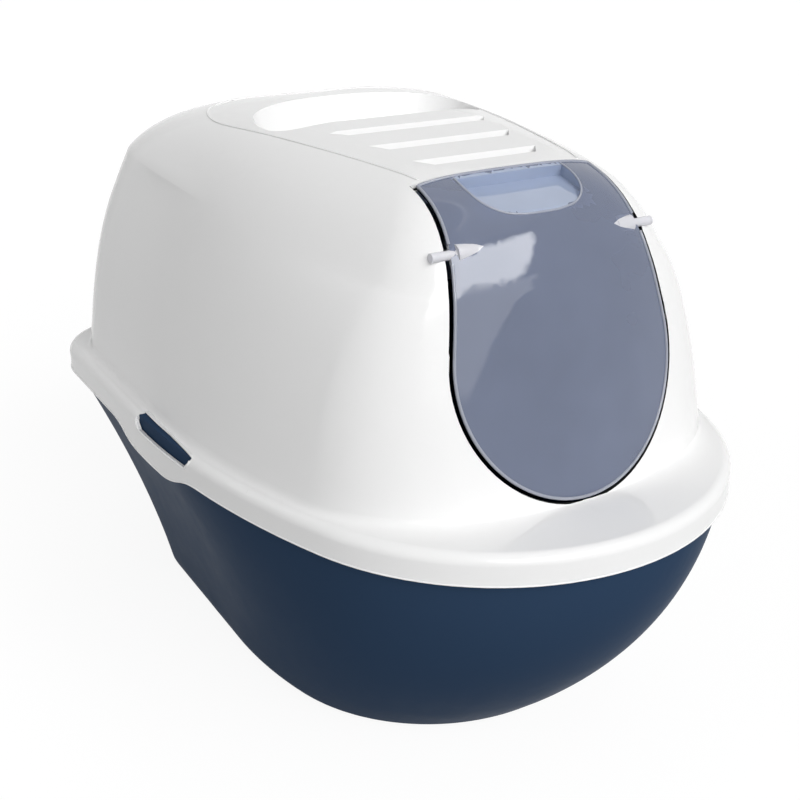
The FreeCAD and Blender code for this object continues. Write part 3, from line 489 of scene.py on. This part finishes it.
@dataclass
class Bead:
    """A fine round bead or rolled edge along a line of the moulding."""

    name: str
    body: str
    slot: Slot
    radius_mm: float
    spacing_mm: float = 2.0

    def lay(self, points: Sequence[Vector], pairs: Sequence[tuple[int, int]],
            material: bpy.types.Material) -> Optional[bpy.types.Object]:
        """Lay the bead along a wire.

        Args:
            points: the wire's points.
            pairs: the points that each run joins.
            material: the bead's finish.

        Returns:
            The piece, or None where the wire has no runs.
        """
        if not pairs:
            LOG.warning("%s has no line to follow", self.name)
            return None
        wire = bpy.data.meshes.new(self.name + "_line")
        wire.from_pydata([tuple(point) for point in points], list(pairs), [])
        holder = bpy.data.objects.new(self.name + "_line", wire)
        bpy.context.scene.collection.objects.link(holder)
        tree = bead_tree(self.name + "_bead")
        values = {"Radius": self.radius_mm * MM, "Spacing": self.spacing_mm * MM, "Finish": material}
        modifier = holder.modifiers.new("bead", "NODES")
        modifier.node_group = tree
        for item in tree.interface.items_tree:
            if item.in_out == "INPUT" and item.name in values:
                modifier[item.identifier] = values[item.name]
        seen = holder.evaluated_get(bpy.context.evaluated_depsgraph_get())
        mesh = bpy.data.meshes.new_from_object(seen)
        mesh.name = self.name
        holder.modifiers.remove(modifier)
        bpy.data.objects.remove(holder)
        return show(self.name, mesh, self.body)

    def along(self, edges: Sequence[bmesh.types.BMEdge],
              material: bpy.types.Material) -> Optional[bpy.types.Object]:
        """Lay the bead along edges of a moulding.

        Args:
            edges: the edges.
            material: the bead's finish.

        Returns:
            The piece, or None where there are no edges.
        """
        places: dict[int, int] = {}
        points: list[Vector] = []
        for edge in edges:
            for vert in edge.verts:
                if vert.index not in places:
                    places[vert.index] = len(points)
                    points.append(vert.co.copy())
        pairs = [(places[edge.verts[0].index], places[edge.verts[1].index]) for edge in edges]
        return self.lay(points, pairs, material)

    def over(self, piece: bpy.types.Object, half_mm: Sequence[tuple[float, float]],
             material: bpy.types.Material) -> Optional[bpy.types.Object]:
        """Lay the bead down on a piece, along a plan outline that is alike on both sides.

        Args:
            piece: what the bead lies on.
            half_mm: the right half of the outline, ending on the middle line.
            material: the bead's finish.

        Returns:
            The piece, or None where the outline misses.
        """
        laid = laid_on(piece, smooth_line(both_halves(half_mm)))
        pairs = [(number, number + 1) for number in range(len(laid) - 1)]
        return self.lay(laid, pairs, material)


@dataclass
class Tray:
    """Deep navy tray with its two clip lugs."""

    node: str = "base_tray"

    def dress(self, navy: bpy.types.Material) -> bpy.types.Object:
        """Show the tray in its finish.

        Args:
            navy: the tray's finish.

        Returns:
            The tray.
        """
        mesh = plain_mesh("base_tray_shown", welded(self.node), [navy])
        tray = show("base_tray_shown", mesh, "base_tray")
        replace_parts(tray, self.node)
        return tray


@dataclass
class Hood:
    """White hood: dome, flange, skirt, doorway, roof panel line, clip windows."""

    node: str = "hood"
    # The flange's top, and what counts as level, as flat and as wall there.
    flange_m: float = 0.2
    level_mm: float = 0.2
    flat_least: float = 0.98
    wall_most: float = 0.6
    # The doorway, and how far its edge is drawn back from the flap.
    doorway_half_m: float = 0.088
    doorway_back_m: float = -0.1142
    sill_mm: float = 1.0
    gap_mm: float = 1.6
    # A corner with at least this much of both cut edge and wall round it lies on the doorway's edge.
    both_least: float = 0.5
    # The fillet at the dome's root: wide in front, and low under the doorway's sill.
    root_mm: float = 4.6
    root_front_mm: float = 15.0
    root_reach_step_mm: float = 0.25
    root_rise_mm: float = 6.0
    root_sill_mm: float = 1.4
    root_sill_half_m: float = 0.045
    root_sill_blend_m: float = 0.07
    root_spare_mm: float = 2.0
    root_probe_mm: float = 1.0
    root_drop_mm: float = 0.05
    root_sink_mm: float = 0.3
    root_crease_deg: float = 40.0
    root_steps: int = 8
    # The dome's rear corners, which stand out round a point on the middle line.
    corner_mm: float = 11.5
    corner_middle_m: float = 0.08
    corner_rise_m: tuple[float, float] = (0.205, 0.33)
    corner_reach_m: tuple[float, float] = (0.09, 0.2)
    corner_deg: float = 45.0
    corner_span_deg: float = 45.0
    # The clip windows' and the skirt's rounded edges. Both look away from the middle by outer_least_m.
    outer_least_m: float = 0.15
    window_side_m: float = 0.185
    window_along_m: tuple[float, float] = (-0.034, 0.06)
    window_low_m: float = 0.187
    window_bead_mm: float = 0.9
    skirt_top_m: float = 0.1875
    skirt_under: float = -0.75
    skirt_bead_mm: float = 0.6
    # The fine line round the roof panel, from its front corner to the middle of its rear.
    panel_bead_mm: float = 0.85
    panel_half_mm: tuple[tuple[float, float], ...] = (
        (62.0, -111.0), (72.0, -62.0), (82.0, -13.0), (91.5, 40.0), (100.5, 90.0), (102.0, 115.0),
        (96.0, 138.0), (82.5, 157.0), (58.0, 168.0), (28.0, 173.5), (0.0, 175.0))

    def in_doorway(self, face: bmesh.types.BMFace) -> bool:
        """Tell whether a face is the cut edge of the doorway.

        Args:
            face: a face of the hood.

        Returns:
            True for the wall's cut edge.
        """
        place = face.calc_center_median()
        if abs(place.x) > self.doorway_half_m or place.z < self.flange_m + self.sill_mm * MM:
            return False
        return cut_straight(face) and place.y < self.doorway_back_m

    def fill_corners(self, work: bmesh.types.BMesh) -> None:
        """Draw the dome's two rear corners out, more towards the roof, both skins alike.

        Args:
            work: the welded hood, changed here.
        """
        low, high = self.corner_rise_m
        near, far = self.corner_reach_m
        turn = math.radians(self.corner_deg)
        for vert in work.verts:
            along = vert.co.y - self.corner_middle_m
            angle = math.degrees(math.atan2(abs(vert.co.x), along))
            off = abs(angle - self.corner_deg) / self.corner_span_deg
            if off >= 1.0:
                continue
            spread = math.cos(off * math.pi / 2) ** 2
            climb = eased((vert.co.z - low) / (high - low))
            reach = eased((math.hypot(vert.co.x, along) - near) / (far - near))
            move = self.corner_mm * MM * spread * climb * reach
            vert.co.x += math.copysign(move * math.sin(turn), vert.co.x)
            vert.co.y += move * math.cos(turn)
        work.normal_update()

    def widen_doorway(self, work: bmesh.types.BMesh) -> None:
        """Draw the doorway's edge back along the wall, so that the gap round the flap shows as a dark line.

        Args:
            work: the welded hood, changed here.
        """
        moves: dict[bmesh.types.BMVert, Vector] = {}
        for vert in work.verts:
            cut = Vector()
            wall = Vector()
            for face in vert.link_faces:
                if self.in_doorway(face):
                    cut += face.normal
                else:
                    wall += face.normal
            if min(cut.length, wall.length) > self.both_least:
                wall.normalize()
                away = -cut.normalized()
                moves[vert] = (away - wall * away.dot(wall)).normalized() * (self.gap_mm * MM)
        for vert, move in moves.items():
            vert.co += move
        work.normal_update()

    def root_edges(self, work: bmesh.types.BMesh) -> list[bmesh.types.BMEdge]:
        """Find the line where the dome meets the flange.

        Args:
            work: the welded hood.

        Returns:
            The edges of that line.
        """
        found = []
        for edge in creases(work):
            if any(abs(vert.co.z - self.flange_m) > self.level_mm * MM for vert in edge.verts):
                continue
            wall, flat = sorted(edge.link_faces, key=lambda face: face.normal.z)
            above = wall.calc_center_median().z > self.flange_m
            meets = flat.normal.z > self.flat_least and wall.normal.z < self.wall_most
            if meets and above and faces_out(wall):
                found.append(edge)
        return found

    def root_reach(self, tree: BVHTree, foot: Vector, outward: Vector) -> float:
        """Find how far the root's fillet can run out before the flange falls away.

        Args:
            tree: the hood's faces.
            foot: a point of the root line.
            outward: the level direction away from the dome.

        Returns:
            The reach in metres.
        """
        reach = self.root_mm * MM
        while reach < self.root_front_mm * MM:
            probe = foot + outward * (reach + self.root_spare_mm * MM) + UP * (self.root_probe_mm * MM)
            landing = tree.ray_cast(probe, -UP)[0]
            if landing is None or landing.z < self.flange_m - self.root_drop_mm * MM:
                break
            reach += self.root_reach_step_mm * MM
        return reach

    def root_section(self, tree: BVHTree, foot: Vector, normal: Vector) -> list[Vector]:
        """Work out the section of the root's fillet at one point.

        Args:
            tree: the hood's faces.
            foot: a point of the root line.
            normal: the direction of the dome's wall there.

        Returns:
            Points from the flange up to the wall, and one sunk behind the corner.
        """
        outward = Vector((normal.x, normal.y, 0.0)).normalized()
        climb = (UP - normal * UP.dot(normal)).normalized()
        reach = self.root_reach(tree, foot, outward)
        aside = eased((abs(foot.x) - self.root_sill_half_m) / self.root_sill_blend_m)
        rise = (self.root_sill_mm + (self.root_rise_mm - self.root_sill_mm) * aside) * MM
        section = []
        for step in range(self.root_steps + 1):
            share = step / self.root_steps
            section.append(foot + outward * (reach * (1 - share) ** 2) + climb * (rise * share ** 2))
        section.append(foot - (outward + climb).normalized() * (self.root_sink_mm * MM))
        return section

    def root_fillet(self, work: bmesh.types.BMesh, white: bpy.types.Material) -> Optional[bpy.types.Object]:
        """Round the hollow corner between dome and flange.

        Args:
            work: the welded hood.
            white: the hood's finish.

        Returns:
            The fillet, or None where no corner was found.
        """
        edges = self.root_edges(work)
        if not edges:
            return None
        walls: dict[int, Vector] = {}
        places: dict[int, Vector] = {}
        for edge in edges:
            wall = min(edge.link_faces, key=lambda face: face.normal.z)
            for vert in edge.verts:
                walls[vert.index] = walls.get(vert.index, Vector()) + wall.normal
                places[vert.index] = vert.co.copy()
        tree = BVHTree.FromBMesh(work)
        strip = bmesh.new()
        rows: dict[int, list[bmesh.types.BMVert]] = {}
        for index, normal in walls.items():
            section = self.root_section(tree, places[index], normal.normalized())
            rows[index] = [strip.verts.new(point) for point in section]
        for edge in edges:
            first, second = (rows[vert.index] for vert in edge.verts)
            for step in range(len(first)):
                following = (step + 1) % len(first)
                face = strip.faces.new([first[step], first[following], second[following], second[step]])
                face.smooth = step < self.root_steps
        bmesh.ops.recalc_face_normals(strip, faces=strip.faces)
        for edge in strip.edges:
            edge.smooth = edge.calc_face_angle(0.0) < math.radians(self.root_crease_deg)
        mesh = plain_mesh("hood_root_fillet", strip, [white])
        return show("hood_root_fillet", mesh, "hood")

    def rounded_edges(self, work: bmesh.types.BMesh) -> tuple[list[bmesh.types.BMEdge],
                                                              list[bmesh.types.BMEdge]]:
        """Find the edges that get a bead.

        Args:
            work: the welded hood.

        Returns:
            The clip windows' outer edges and the skirt's lower edges.
        """
        windows = []
        skirt = []
        first, last = self.window_along_m
        for edge in creases(work):
            place = halfway(edge)
            lowest = min(face.normal.z for face in edge.link_faces)
            outer_m = max(face.normal.x * place.x + face.normal.y * place.y for face in edge.link_faces)
            if outer_m <= self.outer_least_m:
                continue
            beside = abs(place.x) > self.window_side_m and first < place.y < last
            at_window = beside and place.z > self.window_low_m
            if at_window and any(faces_out(face) for face in edge.link_faces):
                windows.append(edge)
            elif lowest < self.skirt_under and place.z < self.skirt_top_m:
                skirt.append(edge)
        return windows, skirt

    def dress(self, white: bpy.types.Material, shade: bpy.types.Material) -> bpy.types.Object:
        """Show the hood with its fine edges.

        Args:
            white: the hood's finish.
            shade: the finish of the doorway's cut edge, near black as painted shade of the gap round the
                flap.

        Returns:
            The hood.
        """
        work = welded(self.node)
        self.fill_corners(work)
        for face in work.faces:
            # Painted shade: the doorway's cut edge gets the near-black finish for the shade of the gap.
            if self.in_doorway(face):
                face.material_index = HoodSkin.CUT_EDGE
        self.widen_doorway(work)
        windows, skirt = self.rounded_edges(work)
        self.root_fillet(work, white)
        Bead("hood_window_edge", "hood", Slot.WHITE, self.window_bead_mm).along(windows, white)
        Bead("hood_skirt_edge", "hood", Slot.WHITE, self.skirt_bead_mm).along(skirt, white)
        mesh = plain_mesh("hood_shown", work, [white, shade])
        hood = show("hood_shown", mesh, "hood")
        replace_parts(hood, self.node)
        Bead("hood_panel_line", "hood", Slot.WHITE, self.panel_bead_mm).over(hood, self.panel_half_mm, white)
        return hood


@dataclass
class Flap:
    """Clear swing flap with its pocket, bosses and pins."""

    node: str = "entry_flap"
    # The pins and their bosses: where they begin, their axis, their radii and how their faces are told.
    pin_start_m: float = 0.052
    pivot_m: tuple[float, float] = (-0.161, 0.356)
    pin_m: float = 0.003
    boss_m: float = 0.006
    round_mm: float = 0.3
    round_least: float = 0.9
    end_least: float = 0.95
    # The finger pocket's bounds: to each side, in front and below.
    pocket_half_m: float = 0.0425
    pocket_front_m: float = -0.168
    pocket_low_m: float = 0.37
    # The rounded lip: the flap's rear edge, how near to it counts, and how little a cut edge looks along Y.
    back_m: float = -0.117
    back_spare_mm: float = 0.8
    lip_turn: float = 0.1
    lip_mm: float = 1.1
    # The pocket's rim, from its rear corner to the middle of its front.
    rim_mm: float = 0.8
    rim_half_mm: tuple[tuple[float, float], ...] = (
        (41.3, -119.2), (41.6, -133.0), (38.0, -146.0), (28.0, -154.5), (14.0, -157.8), (0.0, -158.4))

    def is_pin(self, face: bmesh.types.BMFace) -> bool:
        """Tell whether a face belongs to a pin or its boss.

        Args:
            face: a face of the flap.

        Returns:
            True near the flap's axis at its two ends.
        """
        place = face.calc_center_median()
        if abs(place.x) < self.pin_start_m:
            return False
        arm = Vector((0.0, place.y - self.pivot_m[0], place.z - self.pivot_m[1]))
        if abs(face.normal.x) > self.end_least:
            return arm.length < self.boss_m
        round_wall = any(abs(arm.length - size) < self.round_mm * MM for size in (self.pin_m, self.boss_m))
        return round_wall and face.normal.dot(arm.normalized()) > self.round_least

    def in_pocket(self, place: Vector) -> bool:
        """Tell whether a point lies within the finger pocket's bounds."""
        level = abs(place.x) < self.pocket_half_m and place.y > self.pocket_front_m
        return level and place.z > self.pocket_low_m

    def within_rim(self, place: Vector) -> bool:
        """Tell whether a point lies inside the pocket's rim, seen from above.

        Args:
            place: the point.

        Returns:
            True over the pocket's floor.
        """
        across = abs(place.x) / MM
        along = place.y / MM
        for (wide, back), (narrow, front) in zip(self.rim_half_mm, self.rim_half_mm[1:]):
            if front <= along <= back:
                return across < narrow + (wide - narrow) * (along - front) / (back - front)
        return False

    def mark_faces(self, work: bmesh.types.BMesh) -> None:
        """Give the pins, the cut edge and the pocket their own finishes.

        Args:
            work: the welded flap, changed here.
        """
        for face in work.faces:
            place = face.calc_center_median()
            pocket = self.in_pocket(place)
            if self.is_pin(face):
                face.material_index = FlapSkin.PIN
            # The cut edge gets the nearly black finish, partly painted shade of the gap round the flap.
            elif cut_straight(face) and not faces_out(face) and not pocket:
                face.material_index = FlapSkin.CUT_EDGE
            elif pocket and (self.within_rim(place) or not faces_out(face)):
                face.material_index = FlapSkin.POCKET

    def lip_edges(self, work: bmesh.types.BMesh) -> list[bmesh.types.BMEdge]:
        """Find the outer edge of the flap's sheet, without its pins and its pocket.

        Args:
            work: the welded flap.

        Returns:
            The edges that get the lip.
        """
        lip = []
        for edge in creases(work):
            place = halfway(edge)
            at_back = place.y > self.back_m - self.back_spare_mm * MM
            on_pin = any(self.is_pin(face) for face in edge.link_faces)
            if on_pin or (self.in_pocket(place) and not at_back):
                continue
            inner = [face for face in edge.link_faces if not faces_out(face)]
            if len(inner) == 1 and (at_back or abs(inner[0].normal.y) < self.lip_turn):
                lip.append(edge)
        return lip

    def dress(self, clear: bpy.types.Material, hazy: bpy.types.Material, edge_tint_and_shade: bpy.types.Material,
              rim: bpy.types.Material, pocket: bpy.types.Material) -> bpy.types.Object:
        """Show the flap with its lip and its pocket's rim.

        Args:
            clear: the finish of the sheet.
            hazy: the finish of its pins and bosses.
            edge_tint_and_shade: its cut edge's finish, dark partly as painted shade of the gap and partly
                from the deep tint.
            rim: the finish of its rounded lip and of the pocket's rim, pale as a painted highlight.
            pocket: the finish of the finger pocket's floor and walls.

        Returns:
            The flap.
        """
        work = welded(self.node)
        self.mark_faces(work)
        Bead("flap_lip", "entry_flap", Slot.CLEAR, self.lip_mm).along(self.lip_edges(work), rim)
        mesh = plain_mesh("entry_flap_shown", work, [clear, hazy, edge_tint_and_shade, pocket])
        flap = show("entry_flap_shown", mesh, "entry_flap")
        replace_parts(flap, self.node)
        Bead("flap_pocket_rim", "entry_flap", Slot.CLEAR, self.rim_mm).over(flap, self.rim_half_mm, rim)
        return flap


@dataclass
class FilterCover:
    """Slotted filter cover and the carbon pad that lies in it."""

    cover: str = "filter_cover"
    pad: str = "carbon_filter"

    def dress(self, white: bpy.types.Material, carbon: bpy.types.Material) -> None:
        """Show the cover and the pad.

        Args:
            white: the cover's finish.
            carbon: the pad's finish.
        """
        for node, slot, material in ((self.cover, Slot.WHITE, white), (self.pad, Slot.CARBON, carbon)):
            mesh = plain_mesh(node + "_shown", welded(node), [material])
            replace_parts(show(node + "_shown", mesh, "filter_cover"), node)


@dataclass(frozen=True)
class SoftPanel:
    """A large soft light or wall of the studio, as the box sees it.

    The slant is how far its two upright sides lean, in degrees of azimuth for each degree of elevation.
    """

    strength: float
    azimuth_deg: tuple[float, float]
    elevation_deg: tuple[float, float]
    slant: tuple[float, float] = (0.0, 0.0)
    blur_deg: float = 4.0

    def light(self, tree: bpy.types.NodeTree, around: bpy.types.NodeSocket,
              height: bpy.types.NodeSocket) -> bpy.types.NodeSocket:
        """Add the nodes that give the panel's light in a direction.

        Args:
            tree: the world's tree.
            around: the direction's azimuth in degrees.
            height: its elevation in degrees.

        Returns:
            The panel's strength in that direction.
        """
        total: Any = self.strength
        for side, (low, high) in enumerate(((0.0, 1.0), (1.0, 0.0))):
            shift = add_node(tree, "ShaderNodeMath", {"operation": "MULTIPLY_ADD"}, {
                0: height, 1: -self.slant[side], 2: around}).outputs[0]
            for value, limit in ((shift, self.azimuth_deg[side]), (height, self.elevation_deg[side])):
                cover = add_node(tree, "ShaderNodeMapRange", {"interpolation_type": "SMOOTHSTEP"}, {
                    "Value": value, "To Min": low, "To Max": high,
                    "From Min": limit - self.blur_deg / 2, "From Max": limit + self.blur_deg / 2})
                total = add_node(tree, "ShaderNodeMath", {"operation": "MULTIPLY"}, {
                    0: cover.outputs[0], 1: total}).outputs[0]
        return total


@dataclass
class Studio:
    """White sweep, soft light and the photograph's camera."""

    azimuth_deg: float = -30.9
    elevation_deg: float = 23.4
    place_m: tuple[float, float, float] = (-0.443913, -0.728374, 0.557139)
    lens_mm: float = 53.9
    sensor_mm: float = 36.0
    clip_m: tuple[float, float] = (0.01, 60.0)
    floor_m: float = 12.0
    # What the floor gives the eye by itself, what it adds by the light on it, and what it throws on the box.
    floor_glow: float = 0.9
    floor_share: float = 0.13
    floor_throw: float = 0.5
    ambient: float = 0.03
    panels: tuple[SoftPanel, ...] = (
        # the main light, high in front
        SoftPanel(6.3, (-30.0, 3.0), (24.0, 47.0), (0.0, 1.0)),
        # its weaker lower part
        SoftPanel(1.9, (-26.0, 3.0), (2.0, 24.0), (0.0, 1.3)),
        # a narrow light on the left, and the dimmer wall beside it
        SoftPanel(1.2, (-106.0, -86.0), (-14.0, 47.0), (-0.45, 0.0), 2.0),
        SoftPanel(0.55, (-86.0, -58.0), (-14.0, 47.0), (0.0, 0.0), 10.0),
        # the ceiling
        SoftPanel(0.4, (-190.0, 190.0), (66.0, 100.0)),
        # a dim wall on the right, and a light above it
        SoftPanel(0.25, (30.0, 78.0), (-10.0, 45.0)),
        SoftPanel(1.1, (20.0, 160.0), (50.0, 70.0)),
    )

    def camera(self) -> bpy.types.Object:
        """Set up the camera.

        Returns:
            The camera object.
        """
        data = bpy.data.cameras.new("photo camera")
        data.lens = self.lens_mm
        data.sensor_width = self.sensor_mm
        data.clip_start, data.clip_end = self.clip_m
        camera = bpy.data.objects.new("photo camera", data)
        turn = math.radians(self.azimuth_deg)
        rise = math.radians(self.elevation_deg)
        back = Vector((math.sin(turn) * math.cos(rise), -math.cos(turn) * math.cos(rise), math.sin(rise)))
        camera.location = Vector(self.place_m)
        camera.rotation_mode = "QUATERNION"
        camera.rotation_quaternion = (-back).to_track_quat("-Z", "Y")
        bpy.context.scene.collection.objects.link(camera)
        bpy.context.scene.camera = camera
        return camera

    def world(self) -> None:
        """Surround the box: white for the eye, soft panels for its light and both for its reflections."""
        world = bpy.data.worlds.new("white studio")
        bpy.context.scene.world = world
        world.use_nodes = True
        tree = world.node_tree
        tree.nodes.clear()
        way = add_node(tree, "ShaderNodeTexCoord").outputs["Generated"]
        split = add_node(tree, "ShaderNodeSeparateXYZ", inputs={0: way}).outputs
        front = add_node(tree, "ShaderNodeMath", {"operation": "MULTIPLY"}, {
            0: split["Y"], 1: -1.0}).outputs[0]
        turn = add_node(tree, "ShaderNodeMath", {"operation": "ARCTAN2"}, {
            0: split["X"], 1: front}).outputs[0]
        rise = add_node(tree, "ShaderNodeMath", {"operation": "ARCSINE"}, {0: split["Z"]}).outputs[0]
        around = add_node(tree, "ShaderNodeMath", {"operation": "DEGREES"}, {0: turn}).outputs[0]
        height = add_node(tree, "ShaderNodeMath", {"operation": "DEGREES"}, {0: rise}).outputs[0]
        total: Any = self.ambient
        for panel in self.panels:
            total = add_node(tree, "ShaderNodeMath", {"operation": "ADD"}, {
                0: panel.light(tree, around, height), 1: total}).outputs[0]
        path = add_node(tree, "ShaderNodeLightPath")
        gloss = add_node(tree, "ShaderNodeMath", {"operation": "MAXIMUM"}, {
            0: total, 1: path.outputs["Is Glossy Ray"]})
        plain = add_node(tree, "ShaderNodeMath", {"operation": "MAXIMUM"}, {
            0: path.outputs["Is Camera Ray"], 1: path.outputs["Is Transmission Ray"]})
        level = add_node(tree, "ShaderNodeMix", {"data_type": "FLOAT"}, {
            0: plain.outputs[0], 2: gloss.outputs[0], 3: 1.0})
        light = add_node(tree, "ShaderNodeBackground", inputs={
            "Color": PURE_WHITE, "Strength": level.outputs[0]})
        add_node(tree, "ShaderNodeOutputWorld", inputs={"Surface": light.outputs[0]})

    def floor(self) -> bpy.types.Object:
        """Lay the white paper floor, which keeps the box's shadow.

        Returns:
            The floor object.
        """
        half = self.floor_m / 2
        corners = [(-half, -half, 0), (half, -half, 0), (half, half, 0), (-half, half, 0)]
        mesh = bpy.data.meshes.new("floor")
        mesh.from_pydata(corners, [], [(0, 1, 2, 3)])
        floor = bpy.data.objects.new("floor", mesh)
        bpy.context.scene.collection.objects.link(floor)
        # Matt white paper: plain white to the eye, with a soft shadow under the box.
        material = blank_material("white paper sweep")
        tree = material.node_tree
        path = add_node(tree, "ShaderNodeLightPath")
        thrown, lit = (
            add_node(tree, "ShaderNodeBsdfDiffuse", inputs={"Color": (share, share, share, 1.0)})
            for share in (self.floor_throw, self.floor_share))
        glow = add_node(tree, "ShaderNodeEmission", inputs={
            "Color": PURE_WHITE, "Strength": self.floor_glow})
        bright = add_node(tree, "ShaderNodeAddShader", inputs={0: lit.outputs[0], 1: glow.outputs[0]})
        shown = path.outputs["Is Camera Ray"]
        for kind in ("Is Glossy Ray", "Is Transmission Ray"):
            shown = add_node(tree, "ShaderNodeMath", {"operation": "MAXIMUM"}, {
                0: shown, 1: path.outputs[kind]}).outputs[0]
        mix = add_node(tree, "ShaderNodeMixShader", inputs={
            0: shown, 1: thrown.outputs[0], 2: bright.outputs[0]})
        add_node(tree, "ShaderNodeOutputMaterial", inputs={"Surface": mix.outputs[0]})
        mesh.materials.append(material)
        return floor

    def build(self) -> None:
        """Set up the whole studio."""
        bpy.context.scene.view_settings.view_transform = "Standard"
        self.camera()
        self.world()
        self.floor()
        LOG.info("studio ready")


def main() -> None:
    """Dress the pieces and set up the studio."""
    logging.basicConfig(level=logging.INFO)
    white = WHITE.make()
    Tray().dress(NAVY.make())
    Hood().dress(white, SHADE.make())
    Flap().dress(CLEAR.make(), HAZY.make(), EDGE.make(), RIM_HIGHLIGHT.make(), POCKET.make())
    FilterCover().dress(white, CARBON.make())
    Studio().build()


if __name__ == "__main__":
    main()
